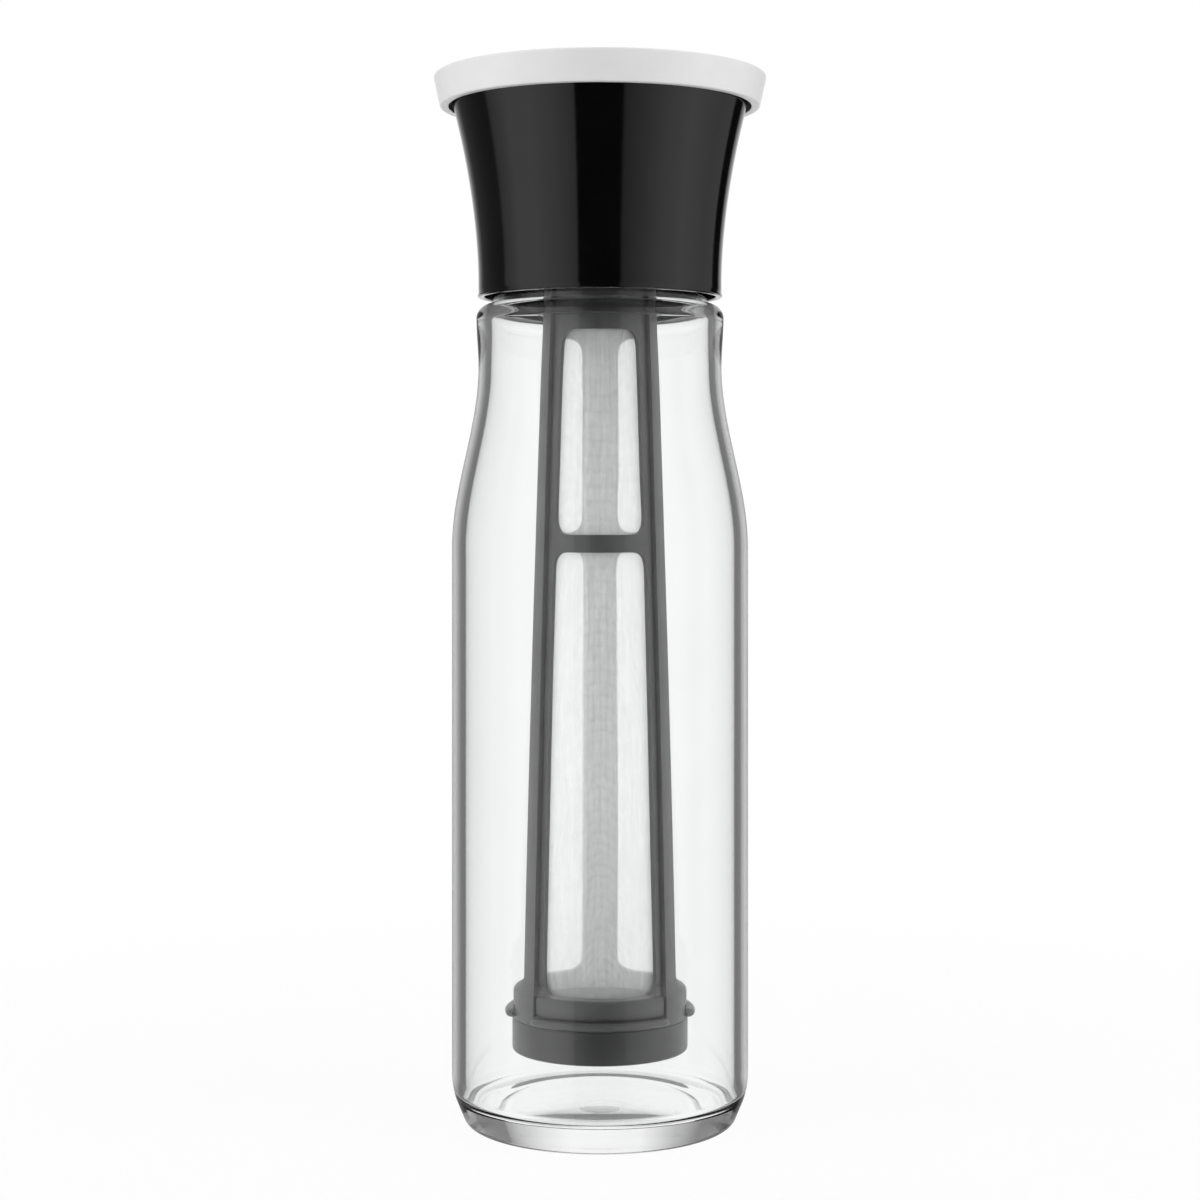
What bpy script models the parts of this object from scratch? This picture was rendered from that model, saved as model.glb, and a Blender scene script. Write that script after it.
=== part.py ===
"""Infusion carafe: a glass bottle, a flared pouring collar with a pull-off lid,
and a tapered mesh infuser that hangs from the collar.

Metres, +Z up. The origin is the centre of the base, on the surface it stands on.
The front window of the infuser faces -Y. Angles run from -Y towards +X.
"""

import math

import bmesh
import bpy

MM = 0.001

# Fits and drawing steps
FIT = 0.3 * MM
SEGMENTS = 40
SMALL_SEGMENTS = 30
CORNER_STEPS = 2
CORNER_SHARE = 0.48
BEAD_STEPS = 10
BEAD_SIDE_STEPS = 4
SMOOTH_ANGLE = math.radians(32)
MERGE_DISTANCE = 0.002 * MM
CUTTER_REACH = 5.0 * MM

# Glass bottle
NECK_BORE = 27.6 * MM
NECK_WALL = 2.8 * MM
NECK_HEIGHT = 18.0 * MM
RIM_ROUND = 1.2 * MM
SHOULDER_STEP = 4.1 * MM
SHOULDER_BEAD = 0.6 * MM
SHOULDER_DROP = 4.2 * MM
SHOULDER_WALL = 3.5 * MM
BORE_DEPTH = 1.7 * MM
INNER_SHOULDER = 3.6 * MM
WAIST_HEIGHT = 13.8 * MM
BODY_SWELL = 7.5 * MM
BODY_WALL = 3.8 * MM
SWELL_HEIGHT = 51.0 * MM
BODY_HEIGHT = 163.0 * MM
HEEL_HEIGHT = 10.0 * MM
HEEL_TAPER = 3.6 * MM
HEEL_ROUND = 20.0 * MM
FOOT_ROUND = 1.0 * MM
FOOT_RING = 6.9 * MM
BASE_RECESS = 1.0 * MM
RECESS_SLOPE = 11.5 * MM
FLOOR_THICKNESS = 7.6 * MM
FLOOR_RISE = 0.8 * MM
RISE_RADIUS = 30.0 * MM
FLOOR_ROUND = 3.0 * MM

# Lugs that lock the collar on the neck
LUG_COUNT = 4
LUG_HALF_ANGLE = math.radians(11)
LUG_PROUD = 0.8 * MM
LUG_THICKNESS = 2.4 * MM
LUG_DROP = 7.6 * MM
LUG_FREE = 0.4 * MM

# Collar
COLLAR_GAP = 1.8 * MM
COLLAR_HEIGHT = 55.7 * MM
COLLAR_FLARE = 7.55 * MM
FLARE_POWER = 1.8
FLARE_START = 4.2 * MM
SKIRT_WALL = 1.75 * MM
SKIRT_LIP = 0.2 * MM
SLEEVE_WALL = 1.0 * MM
SLEEVE_RAISE = 2.2 * MM
SLEEVE_OVER_FLANGE = 2.0 * MM
GASKET_THICKNESS = 1.8 * MM
GASKET_ROUND = 0.6 * MM
FLANGE_THICKNESS = 1.6 * MM
TUBE_CLEARANCE = 0.6 * MM
TUBE_WALL = 1.6 * MM
TUBE_DEPTH = 10.0 * MM
THROAT_HEIGHT = 10.0 * MM
BOWL_MOUTH_STEP = 3.9 * MM
BOWL_POWER = 1.4
LIP_THICKNESS = 1.5 * MM
LIP_ROUND = 0.6 * MM
LIP_PROUD = 0.2 * MM

# Hub that carries the infuser in the throat
SEAT_STEP = 0.8 * MM
SEAT_THICKNESS = 0.8 * MM
HUB_HEIGHT = 6.0 * MM
HUB_RIM_WALL = 1.2 * MM
HUB_WALL = 1.5 * MM
POUR_GAP = 4.9 * MM
WEB_HALF_ANGLE = math.radians(5)

# Lid
PLUG_CLEARANCE = 1.4 * MM
PLUG_WALL = 1.8 * MM
PLUG_ROUND = 1.3 * MM
PLUG_FREE = 5.6 * MM
PLUG_FLANGE = 2.3 * MM
PLUG_FLANGE_STEP = 1.8 * MM
SEAL_GROOVE = 0.6 * MM
SEAL_HEIGHT = 4.0 * MM
SEAL_LIFT = 4.6 * MM
SEAL_DIP = 0.4 * MM
SEAL_FINS = 2
CAP_PLATE = 2.4 * MM
CAP_GAP = 0.6 * MM
CAP_RIM_WALL = 2.5 * MM
CAP_TAPER = 1.95 * MM
CAP_RIM_DROP = 6.4 * MM
CAP_EDGE_ROUND = 0.8 * MM
CAP_LOWER_ROUND = 0.7 * MM

# Infuser frame
WINDOW_COUNT = 3
FRAME_WALL = 1.2 * MM
FRAME_BOW = 0.45 * MM
RIB_HEIGHT = 1.25 * MM
RIB_HALF_ANGLE = math.radians(7.5)
RIB_GROOVE_ANGLE = math.radians(2)
RIB_GROOVE_DEPTH = 1.0 * MM
UPPER_RAIL_HEAD = math.radians(19.6)
UPPER_RAIL_FOOT = math.radians(16.8)
LOWER_RAIL_HEAD = math.radians(15.6)
LOWER_RAIL_FOOT = math.radians(14)
HEAD_STEP = 1.7 * MM
HEAD_BAND = 14.6 * MM
HEAD_RING_DROP = 7.9 * MM
HEAD_RING_THICKNESS = 1.6 * MM
HEAD_RING_STEP = 1.8 * MM
STOP_THICKNESS = 1.6 * MM
STOP_STEP = 1.2 * MM
SLIT_WIDTH = 1.2 * MM
UPPER_WINDOW = 58.0 * MM
CROSSBAR = 4.8 * MM
WINDOW_ROUND = 5.4 * MM
BEAD_CLEARANCE = 0.6 * MM
BEAD_RAISE = 0.1 * MM
BEAD_PROUD = 2.1 * MM
BEAD_THICKNESS = 2.7 * MM
BEAD_INSET = 0.08 * MM
BEAD_END_SWELL = 0.25
BEAD_HALF_ANGLE = math.radians(47)
FOOT_STEP = 3.25 * MM
FOOT_BAND = 5.5 * MM
FOOT_SLOPE = 2.3 * MM
FOOT_RECESS = 0.3 * MM
FLARE_REACH = 2.0 * MM

# Mesh sleeve, one rolled sheet with a lap
SHEET = 0.35 * MM
LAP_CENTRE = math.radians(195)
LAP_WIDTH = math.radians(6)
SLEEVE_TUCK = 3.6 * MM

# End cap
FLOOR_CLEARANCE = 13.6 * MM
END_CAP_HEIGHT = 9.1 * MM
END_CAP_WALL = 1.7 * MM
END_CAP_FLOOR = 1.8 * MM
END_CAP_ROUND = 0.9 * MM
END_SEAL_HEIGHT = 1.4 * MM
END_SEAL_ROUND = 0.4 * MM

# Radii and heights that follow
NECK_RADIUS = NECK_BORE + NECK_WALL
WAIST_RADIUS = NECK_RADIUS + SHOULDER_STEP
BEAD_RADIUS = WAIST_RADIUS + SHOULDER_BEAD
BODY_RADIUS = WAIST_RADIUS + BODY_SWELL
SWELL_TOP = BODY_HEIGHT + SWELL_HEIGHT
SHOULDER_LOW = SWELL_TOP + WAIST_HEIGHT
SHOULDER_TOP = SHOULDER_LOW + SHOULDER_DROP
MOUTH = SHOULDER_TOP + NECK_HEIGHT
LUG_RADIUS = NECK_RADIUS + LUG_PROUD
LUG_TOP = MOUTH - LUG_DROP
LUG_BOTTOM = LUG_TOP - LUG_THICKNESS

SLEEVE_BORE = LUG_RADIUS + FIT
SLEEVE_RADIUS = SLEEVE_BORE + SLEEVE_WALL
SKIRT_BORE = SLEEVE_RADIUS + FIT
SKIRT_RADIUS = SKIRT_BORE + SKIRT_WALL
SKIRT_BOTTOM = SHOULDER_TOP + COLLAR_GAP
SKIRT_TOP = SKIRT_BOTTOM + COLLAR_HEIGHT
RIM_RADIUS = SKIRT_RADIUS + COLLAR_FLARE
GASKET_BOTTOM = MOUTH + FIT
GASKET_TOP = GASKET_BOTTOM + GASKET_THICKNESS
FLANGE_BOTTOM = GASKET_TOP + FIT
FLANGE_TOP = FLANGE_BOTTOM + FLANGE_THICKNESS
FLANGE_RADIUS = SLEEVE_BORE - FIT
TUBE_RADIUS = NECK_BORE - TUBE_CLEARANCE
THROAT_BORE = TUBE_RADIUS - TUBE_WALL
TUBE_BOTTOM = MOUTH - TUBE_DEPTH
THROAT_TOP = FLANGE_TOP + THROAT_HEIGHT
LIP_BOTTOM = SKIRT_TOP + FIT
LIP_TOP = LIP_BOTTOM + LIP_THICKNESS
LIP_RADIUS = RIM_RADIUS + LIP_PROUD
BOWL_MOUTH = LIP_RADIUS - BOWL_MOUTH_STEP

HUB_BOTTOM = TUBE_BOTTOM + SEAT_THICKNESS + FIT
HUB_TOP = HUB_BOTTOM + HUB_HEIGHT
HUB_RADIUS = THROAT_BORE - FIT
POUR_OUTER = HUB_RADIUS - HUB_RIM_WALL
POUR_INNER = POUR_OUTER - POUR_GAP
HUB_BORE = POUR_INNER - HUB_WALL

PLUG_RADIUS = THROAT_BORE - PLUG_CLEARANCE
PLUG_BOTTOM = HUB_TOP + PLUG_FREE
PLUG_FLANGE_BOTTOM = LIP_TOP + FIT
PLUG_FLANGE_TOP = PLUG_FLANGE_BOTTOM + PLUG_FLANGE
PLUG_FLANGE_RADIUS = LIP_RADIUS - PLUG_FLANGE_STEP
GROOVE_RADIUS = PLUG_RADIUS - SEAL_GROOVE
SEAL_BOTTOM = PLUG_BOTTOM + SEAL_LIFT
SEAL_TOP = SEAL_BOTTOM + SEAL_HEIGHT
CAP_UNDERSIDE = PLUG_FLANGE_TOP + FIT
CAP_TOP = CAP_UNDERSIDE + CAP_PLATE
CAP_BOTTOM = CAP_UNDERSIDE - CAP_RIM_DROP
CAP_LOWER_RADIUS = LIP_RADIUS + CAP_GAP + CAP_RIM_WALL
CAP_RADIUS = CAP_LOWER_RADIUS + CAP_TAPER
CAP_CORNER_RADIUS = CAP_LOWER_RADIUS + CAP_TAPER * CAP_RIM_DROP / (CAP_RIM_DROP + CAP_PLATE)

HEAD_RADIUS = HUB_BORE - FIT
SPIGOT_TOP = HUB_TOP - FIT
STOP_TOP = HUB_BOTTOM - FIT
STOP_BOTTOM = STOP_TOP - STOP_THICKNESS
STOP_RADIUS = HEAD_RADIUS + STOP_STEP
HEAD_RING_TOP = STOP_BOTTOM - HEAD_RING_DROP
HEAD_RING_BOTTOM = HEAD_RING_TOP - HEAD_RING_THICKNESS
FRAME_TOP_RADIUS = HEAD_RADIUS - HEAD_STEP
END_CAP_BOTTOM = FLOOR_THICKNESS + FLOOR_CLEARANCE
END_CAP_TOP = END_CAP_BOTTOM + END_CAP_HEIGHT
FOOT_BOTTOM = END_CAP_TOP + FIT
INFUSER_BEAD = NECK_BORE - BEAD_CLEARANCE
FOOT_RADIUS = INFUSER_BEAD - BEAD_PROUD
FRAME_FOOT_RADIUS = FOOT_RADIUS - FOOT_STEP
BEAD_BOTTOM = FOOT_BOTTOM + BEAD_RAISE
BEAD_MIDDLE = BEAD_BOTTOM + BEAD_THICKNESS / 2
BEAD_TOP = BEAD_BOTTOM + BEAD_THICKNESS
FOOT_TOP = BEAD_TOP + FOOT_BAND
SLOPE_TOP = FOOT_TOP + FOOT_SLOPE
END_SEAL_BOTTOM = END_CAP_BOTTOM + END_CAP_FLOOR + FIT
END_SEAL_TOP = END_SEAL_BOTTOM + END_SEAL_HEIGHT
SPIGOT_BOTTOM = END_SEAL_TOP + FIT
SPIGOT_RADIUS = FOOT_RADIUS - END_CAP_WALL - FIT
UPPER_WINDOW_TOP = STOP_BOTTOM - HEAD_BAND
UPPER_WINDOW_BOTTOM = UPPER_WINDOW_TOP - UPPER_WINDOW
LOWER_WINDOW_TOP = UPPER_WINDOW_BOTTOM - CROSSBAR
LOWER_WINDOW_BOTTOM = FOOT_TOP

# Angles of the repeated features
WINDOW_ANGLES = [2 * math.pi * index / WINDOW_COUNT for index in range(WINDOW_COUNT)]
RAIL_ANGLES = [angle + math.pi / WINDOW_COUNT for angle in WINDOW_ANGLES]
LUG_ANGLES = [2 * math.pi * (index + 0.5) / LUG_COUNT for index in range(LUG_COUNT)]


def clear_scene():
    """Remove every object that the file opened with."""
    for thing in list(bpy.data.objects):
        bpy.data.objects.remove(thing, do_unlink=True)


def finish(name, colour, roughness, transmission=0.0):
    """Make one Principled material."""
    made = bpy.data.materials.new(name)
    made.use_nodes = True
    shader = made.node_tree.nodes["Principled BSDF"]
    shader.inputs["Base Color"].default_value = (*colour, 1.0)
    shader.inputs["Roughness"].default_value = roughness
    shader.inputs["Transmission Weight"].default_value = transmission
    return made


def ease(share):
    """Smooth rise from 0 to 1."""
    return share * share * (3 - 2 * share)


def steps(count):
    """Even shares from 0 to 1, both included."""
    return [index / count for index in range(count + 1)]


def rounded(corners, turns=CORNER_STEPS):
    """Outline through corners of (x, z, radius), each rounded by its radius."""
    outline = []
    for index, (x, z, radius) in enumerate(corners):
        before = corners[index - 1]
        after = corners[(index + 1) % len(corners)]
        if radius <= 0:
            outline.append((x, z))
            continue
        back = (before[0] - x, before[1] - z)
        ahead = (after[0] - x, after[1] - z)
        back_length = math.hypot(*back)
        ahead_length = math.hypot(*ahead)
        back = (back[0] / back_length, back[1] / back_length)
        ahead = (ahead[0] / ahead_length, ahead[1] / ahead_length)
        corner = math.acos(max(-1.0, min(1.0, back[0] * ahead[0] + back[1] * ahead[1])))
        most = CORNER_SHARE * min(back_length, ahead_length)
        reach = min(radius / math.tan(corner / 2), most)
        start = (x + back[0] * reach, z + back[1] * reach)
        end = (x + ahead[0] * reach, z + ahead[1] * reach)
        for share in steps(turns):
            near = (1 - share) ** 2
            middle = 2 * share * (1 - share)
            far = share ** 2
            outline.append((near * start[0] + middle * x + far * end[0],
                            near * start[1] + middle * z + far * end[1]))
    return outline


def around(radius, angle, height):
    """Point on a circle, with the angle counted from the front."""
    return (radius * math.sin(angle), -radius * math.cos(angle), height)


def add_object(name, shape, surface=None):
    """Turn a bmesh into a smooth shaded object."""
    bmesh.ops.recalc_face_normals(shape, faces=shape.faces)
    mesh = bpy.data.meshes.new(name)
    shape.to_mesh(mesh)
    shape.free()
    mesh.shade_smooth()
    mesh.set_sharp_from_angle(angle=SMOOTH_ANGLE)
    made = bpy.data.objects.new(name, mesh)
    bpy.context.scene.collection.objects.link(made)
    if surface:
        mesh.materials.append(surface)
    return made


def turned(name, outline, surface=None, segments=SEGMENTS):
    """Closed solid spun around Z from a closed (radius, height) outline."""
    shape = bmesh.new()
    points = [shape.verts.new((0, -radius, height)) for radius, height in outline]
    edges = []
    for index, point in enumerate(points):
        after = points[(index + 1) % len(points)]
        if outline[index][0] > 0 or outline[(index + 1) % len(points)][0] > 0:
            edges.append(shape.edges.new((point, after)))
    bmesh.ops.spin(shape, geom=points + edges, cent=(0, 0, 0), axis=(0, 0, 1),
                   angle=2 * math.pi, steps=segments, use_merge=True)
    bmesh.ops.remove_doubles(shape, verts=shape.verts, dist=MERGE_DISTANCE)
    return add_object(name, shape, surface)


def add_loft(shape, rings):
    """Join rings of equal point count into one closed body."""
    made = [[shape.verts.new(point) for point in ring] for ring in rings]
    count = len(made[0])
    for lower, upper in zip(made, made[1:]):
        for index in range(count):
            after = (index + 1) % count
            shape.faces.new((lower[index], lower[after], upper[after], upper[index]))
    shape.faces.new(list(reversed(made[0])))
    shape.faces.new(made[-1])


def arc_ring(inner, outer, height, centre, half_angle, count):
    """Outline of a ring sector at one height."""
    angles = [centre + half_angle * (2 * share - 1) for share in steps(count)]
    ring = [around(outer, angle, height) for angle in angles]
    return ring + [around(inner, angle, height) for angle in reversed(angles)]


def arc_blocks(name, inner, outer, bottom, top, half_angle, centres, count=6):
    """Equal blocks, each a sector of a ring."""
    shape = bmesh.new()
    for centre in centres:
        rings = [arc_ring(inner, outer, height, centre, half_angle, count)
                 for height in (bottom, top)]
        add_loft(shape, rings)
    return add_object(name, shape)


def guide(tool):
    """Keep a modelling tool out of the finished part."""
    tool.hide_render = True
    tool.display_type = "WIRE"
    return tool


def combine(target, tool, operation):
    """Join or cut a target with another object."""
    change = target.modifiers.new(operation.title() + " " + tool.name, "BOOLEAN")
    change.operation = operation
    change.solver = "EXACT"
    change.object = guide(tool)


def skirt_radius(height):
    """Outer radius of the flared skirt at a height."""
    start = SKIRT_BOTTOM + FLARE_START
    share = max(0.0, (height - start) / (SKIRT_TOP - start))
    return SKIRT_RADIUS + COLLAR_FLARE * share ** FLARE_POWER


def frame_radius(height):
    """Outer radius of the infuser's tapered wall, without its ribs."""
    share = (STOP_BOTTOM - height) / (STOP_BOTTOM - SLOPE_TOP)
    share = max(0.0, min(1.0, share))
    straight = FRAME_TOP_RADIUS + (FRAME_FOOT_RADIUS - FRAME_TOP_RADIUS) * share
    return straight + 4 * FRAME_BOW * share * (1 - share)


def between(low, high, count):
    """Even heights from low to high, both included."""
    return [low + (high - low) * share for share in steps(count)]


def make_bottle(glass):
    """Bottle with a waist, a shoulder bead, a thick floor and lugs on the neck."""
    corner = BODY_RADIUS - HEEL_TAPER
    ring = corner - FOOT_RING
    outside = [(0, BASE_RECESS)]
    for share in steps(3):
        outside.append((ring - RECESS_SLOPE * (1 - share), BASE_RECESS * (1 - ease(share))))
    outside += rounded([(ring, 0, 0), (corner, 0, FOOT_ROUND), (BODY_RADIUS, HEEL_HEIGHT, HEEL_ROUND),
                        (BODY_RADIUS, BODY_HEIGHT, 0)])[1:-1]
    for share in steps(8):
        outside.append((BODY_RADIUS - BODY_SWELL * ease(share),
                        BODY_HEIGHT + SWELL_HEIGHT * share))
    for share in steps(3)[1:]:
        outside.append((WAIST_RADIUS + SHOULDER_BEAD * ease(share),
                        SWELL_TOP + WAIST_HEIGHT * share))
    for share in steps(5)[1:]:
        turn = share * math.pi / 2
        outside.append((NECK_RADIUS + (BEAD_RADIUS - NECK_RADIUS) * math.cos(turn),
                        SHOULDER_LOW + SHOULDER_DROP * math.sin(turn)))
    bore_bottom = SHOULDER_TOP - BORE_DEPTH
    outside += rounded([(NECK_RADIUS, SHOULDER_TOP, 0), (NECK_RADIUS, MOUTH, RIM_ROUND),
                        (NECK_BORE, MOUTH, RIM_ROUND), (NECK_BORE, bore_bottom, 0)])[1:-1]
    waist_bore = WAIST_RADIUS - SHOULDER_WALL
    body_bore = BODY_RADIUS - BODY_WALL
    inside = []
    for share in steps(4):
        turn = share * math.pi / 2
        inside.append((NECK_BORE + (waist_bore - NECK_BORE) * math.sin(turn),
                       bore_bottom - INNER_SHOULDER * (1 - math.cos(turn))))
    for share in steps(7):
        inside.append((waist_bore + (body_bore - waist_bore) * ease(share),
                       SWELL_TOP - SWELL_HEIGHT * share))
    for share in steps(4):
        turn = share * math.pi / 2
        inside.append((body_bore - FLOOR_ROUND * (1 - math.cos(turn)),
                       FLOOR_THICKNESS + FLOOR_ROUND * (1 - math.sin(turn))))
    inside += [(RISE_RADIUS * (1 - share), FLOOR_THICKNESS + FLOOR_RISE * ease(share))
               for share in steps(3)]
    bottle = turned("glass_bottle", outside + inside, glass)
    lugs = arc_blocks("neck_lugs", NECK_RADIUS - NECK_WALL / 2, LUG_RADIUS,
                      LUG_BOTTOM, LUG_TOP, LUG_HALF_ANGLE, LUG_ANGLES)
    combine(bottle, lugs, "UNION")


def make_collar(shell, rubber):
    """Flared skirt, lugged sleeve, gasket, and funnel with its throat tube."""
    outer = [(skirt_radius(height), height) for height in between(SKIRT_BOTTOM, SKIRT_TOP, 9)]
    outer[0] = (SKIRT_RADIUS + SKIRT_LIP, SKIRT_BOTTOM)
    inner = [(skirt_radius(height) - SKIRT_WALL, height)
             for height in between(SKIRT_TOP, SKIRT_BOTTOM, 5)]
    turned("collar_skirt", outer + inner, shell)

    sleeve_bottom = SKIRT_BOTTOM + SLEEVE_RAISE
    sleeve_top = FLANGE_TOP + SLEEVE_OVER_FLANGE
    sleeve = turned("neck_sleeve", [(SLEEVE_BORE, sleeve_bottom), (SLEEVE_RADIUS, sleeve_bottom),
                                    (SLEEVE_RADIUS, sleeve_top), (SLEEVE_BORE, sleeve_top)], shell)
    lug_top = LUG_BOTTOM - LUG_FREE
    lugs = arc_blocks("sleeve_lugs", SLEEVE_BORE - LUG_PROUD, SLEEVE_BORE + SLEEVE_WALL / 2,
                      lug_top - LUG_THICKNESS, lug_top, LUG_HALF_ANGLE, LUG_ANGLES)
    combine(sleeve, lugs, "UNION")

    turned("neck_gasket", rounded([(TUBE_RADIUS + FIT, GASKET_BOTTOM, GASKET_ROUND),
                                   (FLANGE_RADIUS, GASKET_BOTTOM, GASKET_ROUND),
                                   (FLANGE_RADIUS, GASKET_TOP, GASKET_ROUND),
                                   (TUBE_RADIUS + FIT, GASKET_TOP, GASKET_ROUND)], 1), rubber)

    bowl = [(THROAT_BORE + (BOWL_MOUTH - THROAT_BORE) * share ** BOWL_POWER,
             THROAT_TOP + (LIP_TOP - THROAT_TOP) * share) for share in steps(6)]
    back = [(radius + TUBE_WALL, height) for radius, height in bowl
            if height < LIP_BOTTOM - TUBE_WALL]
    lip = rounded([(back[-1][0] + TUBE_WALL, LIP_BOTTOM, 0),
                   (LIP_RADIUS, LIP_BOTTOM, LIP_ROUND),
                   (LIP_RADIUS, LIP_TOP, LIP_ROUND), bowl[-1] + (0,)], 1)
    seat_top = HUB_BOTTOM - FIT
    tube = [(THROAT_BORE, seat_top), (THROAT_BORE - SEAT_STEP, seat_top),
            (THROAT_BORE - SEAT_STEP, TUBE_BOTTOM), (TUBE_RADIUS, TUBE_BOTTOM),
            (TUBE_RADIUS, FLANGE_BOTTOM), (FLANGE_RADIUS, FLANGE_BOTTOM),
            (FLANGE_RADIUS, FLANGE_TOP), (TUBE_RADIUS, FLANGE_TOP)]
    turned("pour_funnel", list(reversed(bowl)) + tube + back + lip[:-1], shell)


def make_hub(shell):
    """Ring on webs that carries the infuser and lets the drink pour past."""
    hub = turned("infuser_hub", [(HUB_BORE, HUB_BOTTOM), (HUB_RADIUS, HUB_BOTTOM),
                                 (HUB_RADIUS, HUB_TOP), (HUB_BORE, HUB_TOP)], shell, SMALL_SEGMENTS)
    slots = arc_blocks("pour_slots", POUR_INNER, POUR_OUTER, HUB_BOTTOM - HUB_HEIGHT,
                       HUB_TOP + HUB_HEIGHT, math.pi / WINDOW_COUNT - WEB_HALF_ANGLE,
                       WINDOW_ANGLES, 10)
    combine(hub, slots, "DIFFERENCE")


def make_lid(white, shell, rubber):
    """White cap over a hollow stopper with a seal ring."""
    turned("lid_cap", rounded([(0, CAP_TOP, 0),
                               (0, CAP_UNDERSIDE, 0),
                               (CAP_CORNER_RADIUS - CAP_RIM_WALL, CAP_UNDERSIDE, CAP_LOWER_ROUND),
                               (CAP_LOWER_RADIUS - CAP_RIM_WALL, CAP_BOTTOM, CAP_LOWER_ROUND / 2),
                               (CAP_LOWER_RADIUS, CAP_BOTTOM, CAP_LOWER_ROUND),
                               (CAP_RADIUS, CAP_TOP, CAP_EDGE_ROUND)]), white)
    bore = PLUG_RADIUS - PLUG_WALL
    floor = PLUG_BOTTOM + PLUG_WALL
    turned("lid_plug", rounded([(0, PLUG_BOTTOM, 0),
                                (PLUG_RADIUS, PLUG_BOTTOM, PLUG_ROUND),
                                (PLUG_RADIUS, SEAL_BOTTOM - FIT, 0),
                                (GROOVE_RADIUS, SEAL_BOTTOM - FIT, 0),
                                (GROOVE_RADIUS, SEAL_TOP + FIT, 0),
                                (PLUG_RADIUS, SEAL_TOP + FIT, 0),
                                (PLUG_RADIUS, PLUG_FLANGE_BOTTOM, 0),
                                (PLUG_FLANGE_RADIUS, PLUG_FLANGE_BOTTOM, 0),
                                (PLUG_FLANGE_RADIUS, PLUG_FLANGE_TOP, 0),
                                (bore, PLUG_FLANGE_TOP, 0),
                                (bore, floor, 0), (0, floor, 0)]), shell, SMALL_SEGMENTS)
    ring_bore = GROOVE_RADIUS + FIT
    ring_radius = THROAT_BORE - FIT
    fins = [(ring_radius - SEAL_DIP * (1 - math.cos(2 * math.pi * SEAL_FINS * share)) / 2, height)
            for share, height in zip(steps(8), between(SEAL_BOTTOM, SEAL_TOP, 8))]
    turned("plug_seal", fins + [(ring_bore, SEAL_TOP), (ring_bore, SEAL_BOTTOM)], rubber,
           SMALL_SEGMENTS)


def window_outline(bottom, top, foot_rail, head_rail):
    """Rounded window between rails of given half angles at its foot and head."""
    low = (frame_radius(bottom) - FRAME_WALL) * math.sin(math.pi / WINDOW_COUNT - foot_rail)
    high = (frame_radius(top) - FRAME_WALL) * math.sin(math.pi / WINDOW_COUNT - head_rail)
    return rounded([(-low, bottom, WINDOW_ROUND), (low, bottom, WINDOW_ROUND),
                    (high, top, WINDOW_ROUND), (-high, top, WINDOW_ROUND)], 4)


def window_cutter():
    """Six window-shaped wedges whose sides lie on planes through the axis."""
    shape = bmesh.new()
    near = (FRAME_TOP_RADIUS - FRAME_WALL) * math.cos(math.pi / WINDOW_COUNT)
    far = FOOT_RADIUS + CUTTER_REACH
    windows = (
        (LOWER_WINDOW_BOTTOM, LOWER_WINDOW_TOP, LOWER_RAIL_FOOT, LOWER_RAIL_HEAD),
        (UPPER_WINDOW_BOTTOM, UPPER_WINDOW_TOP, UPPER_RAIL_FOOT, UPPER_RAIL_HEAD))
    for bottom, top, foot_rail, head_rail in windows:
        outline = []
        for x, height in window_outline(bottom, top, foot_rail, head_rail):
            rail = foot_rail + (head_rail - foot_rail) * (height - bottom) / (top - bottom)
            edge = (frame_radius(height) - FRAME_WALL) * math.cos(math.pi / WINDOW_COUNT - rail)
            outline.append((x / edge, height))
        for angle in WINDOW_ANGLES:
            rings = []
            for depth in (near, far):
                rings.append([(depth * (slope * math.cos(angle) + math.sin(angle)),
                               depth * (slope * math.sin(angle) - math.cos(angle)), height)
                              for slope, height in outline])
            add_loft(shape, rings)
    return add_object("window_cutter", shape)


def rib_edge(wall, reach):
    """Half angle of a rib at a radius, so that its edge runs straight down."""
    across = (wall + RIB_HEIGHT) * math.sin(math.pi / WINDOW_COUNT - RIB_HALF_ANGLE)
    return math.pi / WINDOW_COUNT - math.asin(across / reach)


def rib_bars():
    """Raised ribs that run down the rails and flare into the foot."""
    shape = bmesh.new()
    flare_top = SLOPE_TOP + FLARE_REACH
    heights = [BEAD_BOTTOM] + between(FOOT_TOP, flare_top, 3)
    heights += between(flare_top, STOP_BOTTOM + STOP_THICKNESS / 2, 5)[1:]
    for centre in RAIL_ANGLES:
        rings = []
        for height in heights:
            wall = frame_radius(height)
            share = max(0.0, min(1.0, (flare_top - height) / (flare_top - FOOT_TOP)))
            reach = wall + RIB_HEIGHT
            reach += (FOOT_RADIUS - reach) * share ** 2
            rings.append(arc_ring(wall - FRAME_WALL / 2, reach, height, centre,
                                  rib_edge(wall, reach), 3))
        add_loft(shape, rings)
    return add_object("rib_bars", shape)


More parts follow.
